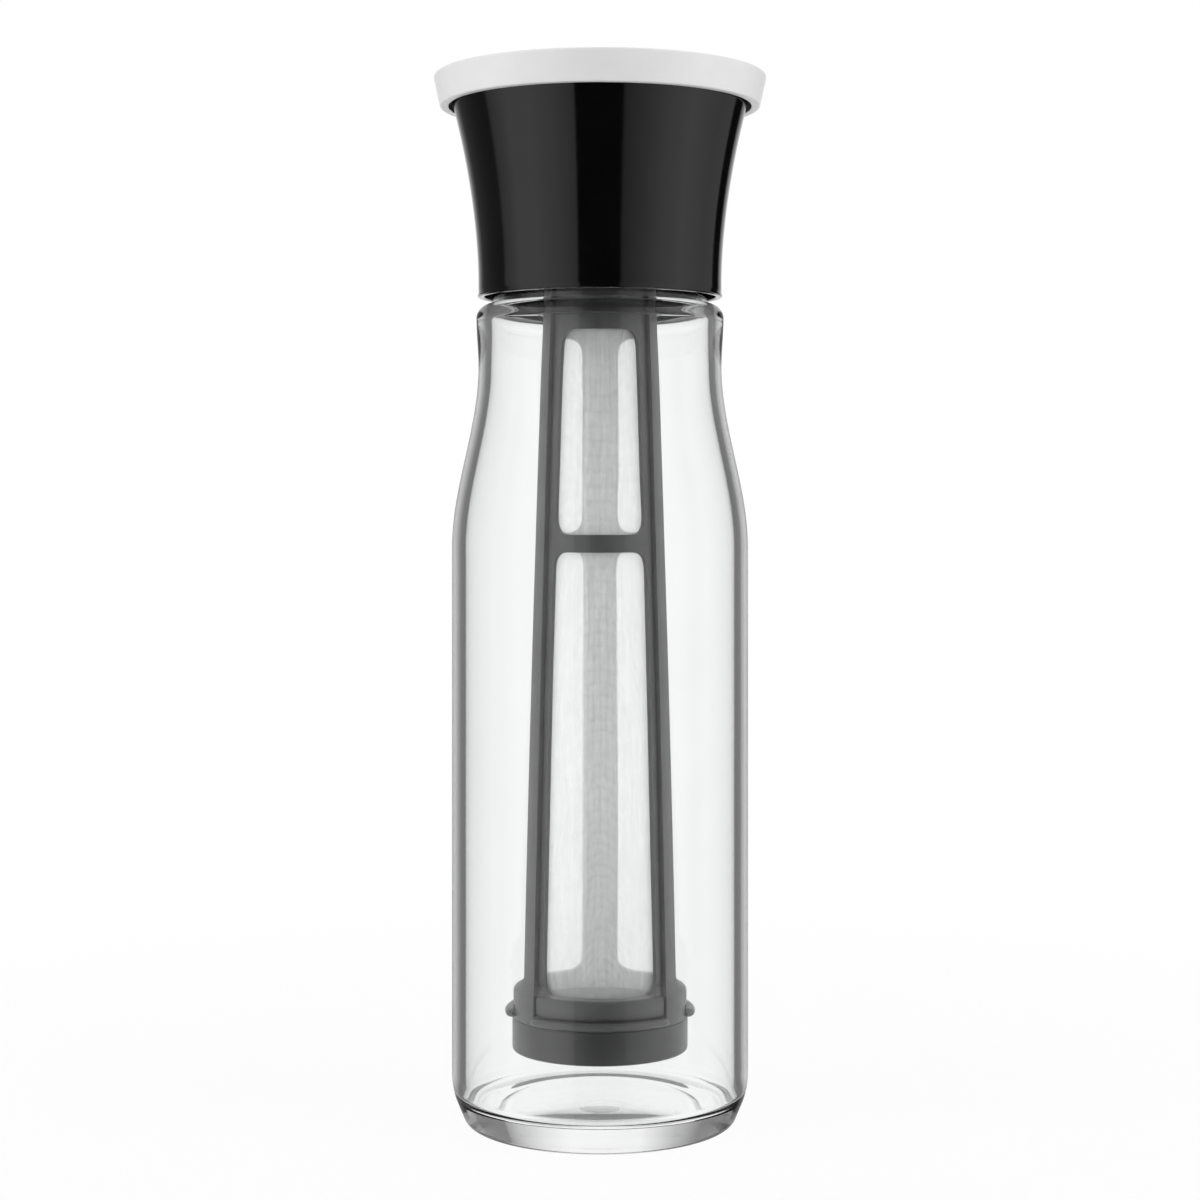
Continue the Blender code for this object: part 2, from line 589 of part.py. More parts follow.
def bead_arcs():
    """Half-round bumpers round the foot, one below each window."""
    shape = bmesh.new()
    half_thickness = BEAD_THICKNESS / 2 - BEAD_INSET
    bury = FOOT_RADIUS - BEAD_PROUD / 2
    for centre in WINDOW_ANGLES:
        rings = []
        for share in steps(BEAD_STEPS):
            angle = centre + BEAD_HALF_ANGLE * (2 * share - 1)
            from_end = min(share, 1 - share) * BEAD_STEPS
            rise = min(1.0, BEAD_END_SWELL + (1 - BEAD_END_SWELL) * from_end)
            proud = BEAD_PROUD * math.sin(rise * math.pi / 2)
            half_height = half_thickness * math.sin(rise * math.pi / 2)
            ring = []
            for turn in between(-math.pi / 2, math.pi / 2, BEAD_SIDE_STEPS):
                ring.append(around(FOOT_RADIUS + proud * math.cos(turn), angle,
                                   BEAD_MIDDLE + half_height * math.sin(turn)))
            ring.append(around(bury, angle, BEAD_MIDDLE + half_height))
            ring.append(around(bury, angle, BEAD_MIDDLE - half_height))
            rings.append(ring)
        add_loft(shape, rings)
    return add_object("bead_arcs", shape)


def slit_bars():
    """Narrow bars that slit the spring-fit spigot beside the ribs."""
    shape = bmesh.new()
    half = SLIT_WIDTH / 2 / HEAD_RADIUS
    bottom = STOP_TOP + FIT
    for angle in RAIL_ANGLES:
        rings = [arc_ring(HEAD_RADIUS - CUTTER_REACH, HEAD_RADIUS + CUTTER_REACH, height,
                          angle, half, 1)
                 for height in (bottom, SPIGOT_TOP + CUTTER_REACH)]
        add_loft(shape, rings)
    return add_object("slit_bars", shape)


def make_frame(dark):
    """Tapered frame with three window pairs, ribs, head and foot rings and a spigot."""
    wall = between(SLOPE_TOP, STOP_BOTTOM, 5)
    outside = [(SPIGOT_RADIUS, SPIGOT_BOTTOM), (SPIGOT_RADIUS, FOOT_BOTTOM),
               (FOOT_RADIUS, FOOT_BOTTOM), (FOOT_RADIUS, BEAD_MIDDLE),
               (FOOT_RADIUS - FOOT_RECESS, BEAD_MIDDLE), (FOOT_RADIUS - FOOT_RECESS, FOOT_TOP)]
    outside += [(frame_radius(height), height) for height in wall if height < HEAD_RING_BOTTOM]
    for height, step in ((HEAD_RING_BOTTOM, 0), (HEAD_RING_BOTTOM, HEAD_RING_STEP),
                         (HEAD_RING_TOP, HEAD_RING_STEP), (HEAD_RING_TOP, 0), (STOP_BOTTOM, 0)):
        outside.append((frame_radius(height) + step, height))
    outside += [(STOP_RADIUS, STOP_BOTTOM), (STOP_RADIUS, STOP_TOP), (HEAD_RADIUS, STOP_TOP),
                (HEAD_RADIUS, SPIGOT_TOP)]
    inside = [(FRAME_TOP_RADIUS - FRAME_WALL, SPIGOT_TOP)]
    inside += [(frame_radius(height) - FRAME_WALL, height) for height in reversed(wall)]
    inside.append((FRAME_FOOT_RADIUS - FRAME_WALL, SPIGOT_BOTTOM))
    frame = turned("infuser_frame", outside + inside, dark)
    notch_half = rib_edge(FRAME_FOOT_RADIUS, FOOT_RADIUS) + RIB_GROOVE_ANGLE
    notches = arc_blocks("rib_notches", FOOT_RADIUS - RIB_GROOVE_DEPTH, FOOT_RADIUS + CUTTER_REACH,
                         BEAD_TOP, SLOPE_TOP + FOOT_SLOPE,
                         notch_half, RAIL_ANGLES, 3)
    combine(frame, notches, "DIFFERENCE")
    combine(frame, window_cutter(), "DIFFERENCE")
    combine(frame, slit_bars(), "DIFFERENCE")
    combine(frame, rib_bars(), "UNION")
    combine(frame, bead_arcs(), "UNION")


def make_mesh_sleeve(mesh_look):
    """Fine mesh sheet rolled into a tapered sleeve, with its lap behind."""
    shape = bmesh.new()
    sweep = 2 * math.pi + LAP_WIDTH
    start = LAP_CENTRE - LAP_WIDTH / 2
    lap_step = SHEET + FIT
    heights = between(FOOT_BOTTOM + SLEEVE_TUCK, UPPER_WINDOW_TOP + SLEEVE_TUCK, 6)
    rings = []
    for share in steps(SEGMENTS):
        angle = start + sweep * share
        inset = FRAME_WALL + FIT + lap_step * share * sweep / (2 * math.pi)
        outer = [around(frame_radius(height) - inset, angle, height) for height in heights]
        inner = [around(frame_radius(height) - inset - SHEET, angle, height)
                 for height in reversed(heights)]
        rings.append(outer + inner)
    add_loft(shape, rings)
    add_object("infuser_mesh", shape, mesh_look)


def make_end_cap(dark, rubber):
    """Pull-off cup that closes the foot of the infuser, and its seal ring."""
    bore = FOOT_RADIUS - END_CAP_WALL
    floor = END_CAP_BOTTOM + END_CAP_FLOOR
    turned("end_cap", rounded([(0, END_CAP_BOTTOM, 0),
                               (FOOT_RADIUS, END_CAP_BOTTOM, END_CAP_ROUND),
                               (FOOT_RADIUS, END_CAP_TOP, 0), (bore, END_CAP_TOP, 0),
                               (bore, floor, 0), (0, floor, 0)]), dark)
    seal_bore = FRAME_FOOT_RADIUS - FRAME_WALL
    turned("end_cap_seal", rounded([(seal_bore, END_SEAL_BOTTOM, END_SEAL_ROUND),
                                    (SPIGOT_RADIUS, END_SEAL_BOTTOM, END_SEAL_ROUND),
                                    (SPIGOT_RADIUS, END_SEAL_TOP, END_SEAL_ROUND),
                                    (seal_bore, END_SEAL_TOP, END_SEAL_ROUND)], 1),
           rubber, SMALL_SEGMENTS)


def main():
    """Build every piece of the carafe."""
    clear_scene()
    glass = finish("clear_glass", (0.95, 0.96, 0.96), 0.02, 1.0)
    shell = finish("gloss_black", (0.012, 0.012, 0.012), 0.12)
    white = finish("satin_white", (0.82, 0.82, 0.82), 0.35)
    dark = finish("dark_grey", (0.11, 0.11, 0.11), 0.4)
    mesh_look = finish("fine_mesh", (0.62, 0.62, 0.62), 0.5)
    rubber = finish("clear_rubber", (0.5, 0.5, 0.5), 0.6)
    make_bottle(glass)
    make_collar(shell, rubber)
    make_hub(shell)
    make_lid(white, shell, rubber)
    make_frame(dark)
    make_mesh_sleeve(mesh_look)
    make_end_cap(dark, rubber)


main()
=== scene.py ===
"""Looks of the infusion carafe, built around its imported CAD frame.

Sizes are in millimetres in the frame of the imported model. +Z is up, the origin
is the middle of the base, and the front window of the infuser faces -Y. Angles
run from -Y towards +X.
"""

import logging
import math
from dataclasses import dataclass
from enum import Enum
from typing import Callable, Optional, Sequence

import bmesh
import bpy
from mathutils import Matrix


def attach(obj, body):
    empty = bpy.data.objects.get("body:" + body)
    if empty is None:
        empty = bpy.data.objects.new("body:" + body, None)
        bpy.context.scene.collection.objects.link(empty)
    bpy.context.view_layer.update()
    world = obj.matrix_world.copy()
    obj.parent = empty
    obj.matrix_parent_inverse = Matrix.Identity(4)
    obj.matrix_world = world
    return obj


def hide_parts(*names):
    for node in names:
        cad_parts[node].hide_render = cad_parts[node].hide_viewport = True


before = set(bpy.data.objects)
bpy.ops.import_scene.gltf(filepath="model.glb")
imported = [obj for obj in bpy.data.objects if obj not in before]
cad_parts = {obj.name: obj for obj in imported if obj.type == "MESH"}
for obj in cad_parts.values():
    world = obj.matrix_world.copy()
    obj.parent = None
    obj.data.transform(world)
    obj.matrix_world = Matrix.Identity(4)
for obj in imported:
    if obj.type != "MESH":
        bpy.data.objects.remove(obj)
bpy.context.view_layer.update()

log = logging.getLogger("carafe")

Shape = bmesh.types.BMesh
Piece = bpy.types.Object
Finish = bpy.types.Material
Socket = bpy.types.NodeSocket
Point = tuple[float, float]
Corner = tuple[float, float, float]
Place = tuple[float, float, float]
Push = Callable[[float, float, float], float]

MM = 0.001
FIT = 0.3
CORNER_SHARE = 0.48
AXIS_CATCH = 1e-6
WALL_CATCH = 0.01
NOISE_MIDDLE = (0.3, 0.7)
FINE_TURN = 192
ROUND_TURN = 160
PART_TURN = 144
SMALL_TURN = 128
FLOOR_TURN = 96
QUARTER = math.pi / 2
SIXTH = math.pi / 3
THIRDS = tuple(2 * math.pi * index / 3 for index in range(3))
LUG_CENTRES = tuple(math.radians(angle) for angle in (45, 135, 225, 315))
LUG_HALF = math.radians(11)


class Body(Enum):
    """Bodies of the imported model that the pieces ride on."""

    BOTTLE = "bottle"
    NECK_SEAL = "neck_seal"
    COLLAR = "collar"
    LID = "lid"
    INFUSER = "infuser"
    FOOT_CAP = "foot_cap"


class Slot(Enum):
    """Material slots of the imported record."""

    GLASS = "clear_glass"
    BLACK = "gloss_black"
    WHITE = "satin_white"
    GREY = "dark_grey"
    MESH = "fine_mesh"
    RUBBER = "clear_rubber"


class Join(Enum):
    """Ways to combine two solids."""

    ADD = "UNION"
    CUT = "DIFFERENCE"


def shares(count: int) -> list[float]:
    """Even shares from 0 to 1, both included."""
    return [index / count for index in range(count + 1)]


def between(low: float, high: float, count: int) -> list[float]:
    """Even steps from low to high, both included."""
    return [low + (high - low) * share for share in shares(count)]


def clamp(value: float, low: float = 0.0) -> float:
    """Value held between low and 1."""
    return max(low, min(1.0, value))


def ease(share: float) -> float:
    """Smooth rise from 0 to 1."""
    return share * share * (3 - 2 * share)


def around(radius: float, angle: float, height: float) -> Place:
    """Point on a circle, with the angle counted from the front."""
    return (radius * math.sin(angle), -radius * math.cos(angle), height)


def upright(radius: float, heights: Sequence[float]) -> list[Point]:
    """Points of an upright line."""
    return [(radius, height) for height in heights]


def eased(start: Point, end: Point, count: int) -> list[Point]:
    """Curve between two points that is upright at both, ends included."""
    return [(start[0] + (end[0] - start[0]) * ease(share), start[1] + (end[1] - start[1]) * share)
            for share in shares(count)]


def quarter(start: Point, end: Point, count: int, leaves_upright: bool = True) -> list[Point]:
    """Quarter of an ellipse between two points.

    Args:
        start: First (radius, height).
        end: Last (radius, height).
        count: Steps along the curve.
        leaves_upright: Whether it leaves the start upright, or else level.

    Returns:
        Points of the curve, both ends included.
    """
    line = []
    for share in shares(count):
        slow, quick = 1 - math.cos(share * QUARTER), math.sin(share * QUARTER)
        across, along = (slow, quick) if leaves_upright else (quick, slow)
        line.append((start[0] + (end[0] - start[0]) * across,
                     start[1] + (end[1] - start[1]) * along))
    return line


def rounded(corners: Sequence[Corner], turns: int) -> list[Point]:
    """Round the corners of a closed outline.

    Args:
        corners: (radius, height, rounding) of each corner in order.
        turns: Steps along each rounding.

    Returns:
        Points of the rounded outline.
    """
    outline: list[Point] = []
    for index, (x, z, radius) in enumerate(corners):
        before = corners[index - 1]
        after = corners[(index + 1) % len(corners)]
        if radius <= 0:
            outline.append((x, z))
            continue
        back_length = math.hypot(before[0] - x, before[1] - z)
        ahead_length = math.hypot(after[0] - x, after[1] - z)
        back = ((before[0] - x) / back_length, (before[1] - z) / back_length)
        ahead = ((after[0] - x) / ahead_length, (after[1] - z) / ahead_length)
        corner = math.acos(clamp(back[0] * ahead[0] + back[1] * ahead[1], -1.0))
        most = CORNER_SHARE * min(back_length, ahead_length)
        reach = min(radius / math.tan(corner / 2), most)
        start = (x + back[0] * reach, z + back[1] * reach)
        end = (x + ahead[0] * reach, z + ahead[1] * reach)
        for share in shares(turns):
            near, middle, far = (1 - share) ** 2, 2 * share * (1 - share), share ** 2
            outline.append((near * start[0] + middle * x + far * end[0],
                            near * start[1] + middle * z + far * end[1]))
    return outline


def band(inner: float, outer: float, low: float, high: float, edge: float, turns: int) -> list[Point]:
    """Outline of a ring with a rounded square section."""
    return rounded([(inner, low, edge), (outer, low, edge), (outer, high, edge), (inner, high, edge)],
                   turns)


def make_object(name: str, shape: Shape, sharp: float = 40.0) -> Piece:
    """Turn a bmesh in millimetres into a smooth shaded object in metres.

    Args:
        name: Name of the piece.
        shape: Shape in millimetres, freed here.
        sharp: Angle in degrees above which an edge stays sharp.

    Returns:
        The new object.
    """
    bmesh.ops.scale(shape, vec=(MM, MM, MM), verts=shape.verts)
    bmesh.ops.recalc_face_normals(shape, faces=shape.faces)
    mesh = bpy.data.meshes.new(name)
    shape.to_mesh(mesh)
    shape.free()
    made = bpy.data.objects.new(name, mesh)
    bpy.context.scene.collection.objects.link(made)
    soften(made, sharp)
    return made


def soften(piece: Piece, sharp: float) -> None:
    """Shade a piece smooth and keep edges above an angle in degrees sharp."""
    piece.data.shade_smooth()
    piece.data.set_sharp_from_angle(angle=math.radians(sharp))


def turned(name: str, outline: Sequence[Point], segments: int,
           push: Optional[Push] = None) -> Piece:
    """Spin a closed outline round Z into a closed solid.

    Args:
        name: Name of the piece.
        outline: (radius, height) points of the closed outline.
        segments: Steps round the axis.
        push: Extra radius for an (angle, radius, height), for lugs.

    Returns:
        The new object.
    """
    shape = bmesh.new()
    rings = []
    for radius, height in outline:
        if radius < AXIS_CATCH:
            rings.append([shape.verts.new((0, 0, height))])
            continue
        ring = []
        for index in range(segments):
            angle = 2 * math.pi * index / segments
            extra = push(angle, radius, height) if push else 0.0
            ring.append(shape.verts.new(around(radius + extra, angle, height)))
        rings.append(ring)
    for lower, upper in zip(rings, rings[1:] + rings[:1]):
        join_rings(shape, lower, upper)
    return make_object(name, shape)


def join_rings(shape: Shape, lower: list, upper: list) -> None:
    """Fill the band between two rings of corners.

    Args:
        shape: Shape that gets the faces.
        lower: Corners of the first ring, or one point.
        upper: Corners of the second ring, or one point.
    """
    count = max(len(lower), len(upper))
    if len(lower) == 1 and len(upper) == 1:
        return
    for index in range(count):
        after = (index + 1) % count
        if len(lower) == 1:
            shape.faces.new((lower[0], upper[after], upper[index]))
        elif len(upper) == 1:
            shape.faces.new((lower[index], lower[after], upper[0]))
        else:
            shape.faces.new((lower[index], lower[after], upper[after], upper[index]))


def loft(shape: Shape, rings: Sequence[Sequence[Place]]) -> None:
    """Add a closed body through rings of equal point count.

    Args:
        shape: Shape that gets the body.
        rings: Points of each ring in order.
    """
    made = [[shape.verts.new(point) for point in ring] for ring in rings]
    for lower, upper in zip(made, made[1:]):
        join_rings(shape, lower, upper)
    shape.faces.new(list(reversed(made[0])))
    shape.faces.new(made[-1])


def sector(inner: float, outer: float, height: float, centre: float, half: float,
           count: int) -> list[Place]:
    """Outline of a ring sector at one height.

    Args:
        inner: Inner radius.
        outer: Outer radius.
        height: Height of the outline.
        centre: Angle of its middle.
        half: Half of the angle that it spans.
        count: Steps along each arc.

    Returns:
        Points of the closed outline.
    """
    angles = [centre + half * (2 * share - 1) for share in shares(count)]
    ring = [around(outer, angle, height) for angle in angles]
    return ring + [around(inner, angle, height) for angle in reversed(angles)]


def blocks(name: str, radii: Point, heights: Sequence[float], centres: Sequence[float],
           half: float, count: int) -> Piece:
    """Equal blocks round the axis, as one tool.

    Args:
        name: Name of the tool.
        radii: Inner and outer radius.
        heights: Height of each level of a block.
        centres: Angle of the middle of each block.
        half: Half of the angle that each spans.
        count: Steps along each arc.

    Returns:
        The tool.
    """
    shape = bmesh.new()
    for centre in centres:
        loft(shape, [sector(*radii, height, centre, half, count) for height in heights])
    return make_object(name, shape)


def combine(target: Piece, tool: Piece, join: Join) -> None:
    """Join or cut a piece with a tool and take the tool away.

    Args:
        target: Piece that is changed.
        tool: Solid that is joined to it or cut from it, deleted here.
        join: Whether the tool adds or cuts.
    """
    change = target.modifiers.new("Shape", "BOOLEAN")
    change.operation = join.value
    change.solver = "EXACT"
    change.object = tool
    bpy.context.view_layer.update()
    graph = bpy.context.evaluated_depsgraph_get()
    old = target.data
    target.data = bpy.data.meshes.new_from_object(target.evaluated_get(graph))
    target.modifiers.clear()
    target.data.name = old.name
    bpy.data.meshes.remove(old)
    bpy.data.objects.remove(tool, do_unlink=True)


class Nodes:
    """Short ways to write the nodes of one tree."""

    def __init__(self, tree: bpy.types.NodeTree) -> None:
        """Keep the tree that is written."""
        self.tree = tree

    def add(self, kind: str, **values: object) -> bpy.types.Node:
        """Add a node.

        Args:
            kind: Type of the node.
            values: Properties that are set on it.

        Returns:
            The new node.
        """
        node = self.tree.nodes.new(kind)
        for key, value in values.items():
            setattr(node, key, value)
        return node

    def feed(self, source: object, target: Socket) -> None:
        """Link a socket to an input, or write a plain value on it.

        Args:
            source: Socket or plain value.
            target: The input.
        """
        if isinstance(source, Socket):
            self.tree.links.new(source, target)
        else:
            target.default_value = source

    def math(self, operation: str, *values: object) -> Socket:
        """Work out a value from sockets and numbers.

        Args:
            operation: Kind of sum.
            values: Sockets and numbers that go in.

        Returns:
            The result.
        """
        node = self.add("ShaderNodeMath", operation=operation)
        for value, target in zip(values, node.inputs):
            self.feed(value, target)
        return node.outputs[0]

    def scaled(self, source: Socket, span: Point, result: Point = (0.0, 1.0),
               kind: str = "SMOOTHSTEP") -> Socket:
        """Map a range of values to another.

        Args:
            source: Value that is mapped.
            span: Where the source starts and ends.
            result: What it gives there.
            kind: Way from one to the other.

        Returns:
            The mapped value.
        """
        node = self.add("ShaderNodeMapRange", interpolation_type=kind)
        for name, value in zip(("From Min", "From Max", "To Min", "To Max"), (*span, *result)):
            node.inputs[name].default_value = value
        self.feed(source, node.inputs["Value"])
        return node.outputs["Result"]

    def blend(self, share: Socket, low: object, high: object) -> Socket:
        """Value from low to high with a share."""
        return self.math("MULTIPLY_ADD", self.math("SUBTRACT", high, low), share, low)


class NodeSheet(Nodes):
    """A new material and short ways to write its nodes."""

    def __init__(self, name: str) -> None:
        """Start a material with a Principled shader.

        Args:
            name: Name of the material.
        """
        self.material = bpy.data.materials.new(name)
        self.material.use_nodes = True
        super().__init__(self.material.node_tree)
        self.shader = self.tree.nodes["Principled BSDF"]

    def place(self) -> Socket:
        """Position on the piece in metres."""
        return self.add("ShaderNodeTexCoord").outputs["Object"]

    def noise(self, size: float, detail: float = 2.0,
              stretch: Place = (1.0, 1.0, 1.0)) -> Socket:
        """Noise from 0 to 1.

        Args:
            size: Size of a blotch in millimetres.
            detail: Octaves of finer noise.
            stretch: Scale of the pattern along X, Y and Z.

        Returns:
            The noise factor.
        """
        spread = self.add("ShaderNodeMapping")
        spread.inputs["Scale"].default_value = stretch
        self.feed(self.place(), spread.inputs["Vector"])
        node = self.add("ShaderNodeTexNoise")
        node.inputs["Scale"].default_value = 1 / (size * MM)
        node.inputs["Detail"].default_value = detail
        self.feed(spread.outputs["Vector"], node.inputs["Vector"])
        return node.outputs["Fac"]

    def spread(self, source: Socket, low: float = 0.0,
               high: float = 1.0) -> Socket:
        """Map the middle of a noise to a range of values."""
        return self.scaled(source, NOISE_MIDDLE, (low, high), "LINEAR")

    def grey(self, source: Socket, low: Place, high: Place) -> Socket:
        """Colour between two others.

        Args:
            source: Factor from 0 to 1.
            low: Colour at 0.
            high: Colour at 1.

        Returns:
            The colour.
        """
        node = self.add("ShaderNodeMix", data_type="RGBA")
        self.feed(source, node.inputs["Factor"])
        self.feed((*low, 1.0), node.inputs["A"])
        self.feed((*high, 1.0), node.inputs["B"])
        return node.outputs["Result"]

    def bump(self, height: Socket, depth: float, strength: float = 1.0,
             normal: Optional[Socket] = None) -> None:
        """Give the shader a bumpy normal.

        Args:
            height: Height of the bumps from 0 to 1.
            depth: What 1 stands for, in millimetres.
            strength: Share of the effect.
            normal: Normal that the bumps start from.
        """
        node = self.add("ShaderNodeBump")
        node.inputs["Distance"].default_value = depth * MM
        node.inputs["Strength"].default_value = strength
        self.feed(height, node.inputs["Height"])
        if normal:
            self.feed(normal, node.inputs["Normal"])
        self.feed(node.outputs["Normal"], self.shader.inputs["Normal"])


@dataclass(frozen=True)
class MouldedPlastic:
    """Moulded plastic with faint mottling, a fine grain and eased edges."""

    name: str
    low: Place
    high: Place
    roughness: Point
    grain: float
    grain_depth: float
    edge: float = 0.0
    edge_samples: int = 6
    mottle: float = 9.0
    specular: float = 0.5

    def make(self) -> Finish:
        """Build the material.

        Returns:
            The finished material.
        """
        sheet = NodeSheet(self.name)
        inputs = sheet.shader.inputs
        inputs["Specular IOR Level"].default_value = self.specular
        tint = sheet.spread(sheet.noise(self.mottle, 3.0))
        sheet.feed(sheet.grey(tint, self.low, self.high), inputs["Base Color"])
        sheet.feed(sheet.spread(sheet.noise(self.mottle / 3), *self.roughness), inputs["Roughness"])
        normal = None
        if self.edge:
            edge = sheet.add("ShaderNodeBevel", samples=self.edge_samples)
            edge.inputs["Radius"].default_value = self.edge * MM
            normal = edge.outputs["Normal"]
        sheet.bump(sheet.noise(self.grain), self.grain_depth, normal=normal)
        return sheet.material


@dataclass(frozen=True)
class BottleGlass:
    """Clear pressed glass with a faint waviness from the mould."""

    name: str
    tint: Place
    tint_spread: float = 0.012
    cloud: float = 22.0
    ior: float = 1.5
    wave: float = 16.0
    wave_stretch: Place = (1.0, 1.0, 0.35)
    wave_depth: float = 0.012

    def make(self) -> Finish:
        """Build the material.

        Returns:
            The finished material.
        """
        sheet = NodeSheet(self.name)
        inputs = sheet.shader.inputs
        inputs["Transmission Weight"].default_value = 1.0
        inputs["IOR"].default_value = self.ior
        inputs["Roughness"].default_value = 0.0
        clear = tuple(clamp(value + self.tint_spread) for value in self.tint)
        cloud = sheet.spread(sheet.noise(self.cloud, 1.0))
        sheet.feed(sheet.grey(cloud, self.tint, clear), inputs["Base Color"])
        sheet.bump(sheet.noise(self.wave, 1.0, self.wave_stretch), self.wave_depth)
        return sheet.material


@dataclass(frozen=True)
class SoftRubber:
    """Frosted clear silicone."""

    name: str
    colour: Place
    shade: float = 0.9
    cloud: float = 4.0
    transmission: float = 0.35
    scatter: float = 0.2
    scatter_reach: float = 0.6
    roughness: Point = (0.42, 0.55)
    haze: float = 2.0
    grain: float = 0.5
    grain_depth: float = 0.01

    def make(self) -> Finish:
        """Build the material.

        Returns:
            The finished material.
        """
        sheet = NodeSheet(self.name)
        inputs = sheet.shader.inputs
        inputs["Transmission Weight"].default_value = self.transmission
        inputs["Subsurface Weight"].default_value = self.scatter
        inputs["Subsurface Radius"].default_value = (self.scatter_reach * MM,) * 3
        darker = tuple(value * self.shade for value in self.colour)
        cloud = sheet.spread(sheet.noise(self.cloud))
        sheet.feed(sheet.grey(cloud, darker, self.colour), inputs["Base Color"])
        sheet.feed(sheet.spread(sheet.noise(self.haze), *self.roughness), inputs["Roughness"])
        sheet.bump(sheet.noise(self.grain), self.grain_depth)
        return sheet.material


@dataclass(frozen=True)
class WovenMesh:
    """Pale woven filter cloth: upright threads crossed by level ones, open between."""

    name: str
    colour: Place
    shade: float = 0.82
    cloud: float = 1.2
    cloud_stretch: Place = (1.0, 1.0, 0.3)
    roughness: Point = (0.38, 0.5)
    threads: int = 660
    pitch: float = 0.19
    cover: float = 0.19
    wander: float = 0.35
    wander_size: float = 5.0
    wander_stretch: Place = (1.0, 1.0, 0.15)
    uneven: float = 0.012
    streak: float = 1.6
    streak_stretch: Place = (1.0, 1.0, 0.05)
    soft: float = 0.05
    gap_share: float = 0.2
    thread_share: float = 0.61
    speck_share: float = 0.5
    speck_size: float = 0.55
    speck_from: float = 0.74
    relief: float = 0.04
    relief_share: float = 0.6

    def make(self) -> Finish:
        """Build the material.

        Returns:
            The finished material.
        """
        sheet = NodeSheet(self.name)
        inputs = sheet.shader.inputs
        split = sheet.add("ShaderNodeSeparateXYZ")
        sheet.feed(sheet.place(), split.inputs["Vector"])
        across = sheet.math("ARCTAN2", split.outputs["X"], split.outputs["Y"])
        across = sheet.math("MULTIPLY", across, self.threads / (2 * math.pi))
        upward = sheet.math("MULTIPLY", split.outputs["Z"], 1 / (self.pitch * MM))
        wander = sheet.noise(self.wander_size, 3.0, self.wander_stretch)
        across = sheet.math("ADD", across, sheet.spread(wander, -self.wander, self.wander))
        streaks = sheet.noise(self.streak, 2.0, self.streak_stretch)
        half = sheet.math("ADD", sheet.spread(streaks, -self.uneven, self.uneven), self.cover / 2)
        woven = sheet.math("MAXIMUM", self.thread(sheet, across, half), self.thread(sheet, upward, half))
        speck = sheet.math("GREATER_THAN", sheet.noise(self.speck_size, 1.0), self.speck_from)
        cloud = sheet.spread(sheet.noise(self.cloud, 3.0, self.cloud_stretch))
        darker = tuple(value * self.shade for value in self.colour)
        sheet.feed(sheet.grey(cloud, darker, self.colour), inputs["Base Color"])
        sheet.feed(sheet.spread(cloud, *self.roughness), inputs["Roughness"])
        rise = self.thread_share - self.gap_share
        cover = sheet.math("MULTIPLY_ADD", woven, rise, self.gap_share)
        cover = sheet.math("MAXIMUM", cover, sheet.math("MULTIPLY", speck, self.speck_share))
        sheet.feed(cover, inputs["Alpha"])
        sheet.bump(woven, self.relief, self.relief_share)
        return sheet.material

    def thread(self, sheet: NodeSheet, steps: Socket,
               half: Socket) -> Socket:
        """Mask of one set of threads.

        Args:
            sheet: Material that gets the nodes.
            steps: Running count of the threads.
            half: Half of a thread's share of its step.

        Returns:
            1 on the threads, 0 between them, with soft edges.
        """
        middle = sheet.math("ABSOLUTE", sheet.math("SUBTRACT", sheet.math("FRACT", steps), 0.5))
        inside = sheet.math("SUBTRACT", half, middle)
        inside = sheet.math("MULTIPLY_ADD", inside, 0.5 / self.soft, 0.5)
        return sheet.math("MINIMUM", sheet.math("MAXIMUM", inside, 0.0), 1.0)


def settle(piece: Piece, material: Finish, body: Body,
           node: str) -> Piece:
    """Dress a finished piece and put it in the place of its CAD node.

    Args:
        piece: The finished piece, in its place.
        material: Its finish.
        body: Body that it rides on.
        node: CAD node that it stands for.

    Returns:
        The same piece.
    """
    piece.data.materials.clear()
    piece.data.materials.append(material)
    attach(piece, body.value)
    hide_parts(node)
    log.info("%s: %d faces on %s", piece.name, len(piece.data.polygons), body.value)
    return piece


def lug_push(ease_width: float, low: float, high: float, at_radius: float, proud: float) -> Push:
    """Push that raises the four neck lugs on one wall of a turned piece.

    Args:
        ease_width: Angle over which the ends of a lug rise.
        low: Height of its lower face.
        high: Height of its upper face.
        at_radius: Radius of the wall that carries it.
        proud: How far it stands out, below 0 for inwards.

    Returns:
        Function of angle, radius and height for turned.
    """
    def push(angle: float, radius: float, height: float) -> float:
        """Extra radius at one point.

        Args:
            angle: Angle of the point.
            radius: Its radius.
            height: Its height.

        Returns:
            The extra radius.
        """
        if abs(radius - at_radius) > WALL_CATCH or not low - WALL_CATCH <= height <= high + WALL_CATCH:
            return 0.0
        gap = min(abs((angle - centre + math.pi) % (2 * math.pi) - math.pi)
                  for centre in LUG_CENTRES)
        return proud * ease(clamp((LUG_HALF - gap) / ease_width + 0.5))
    return push


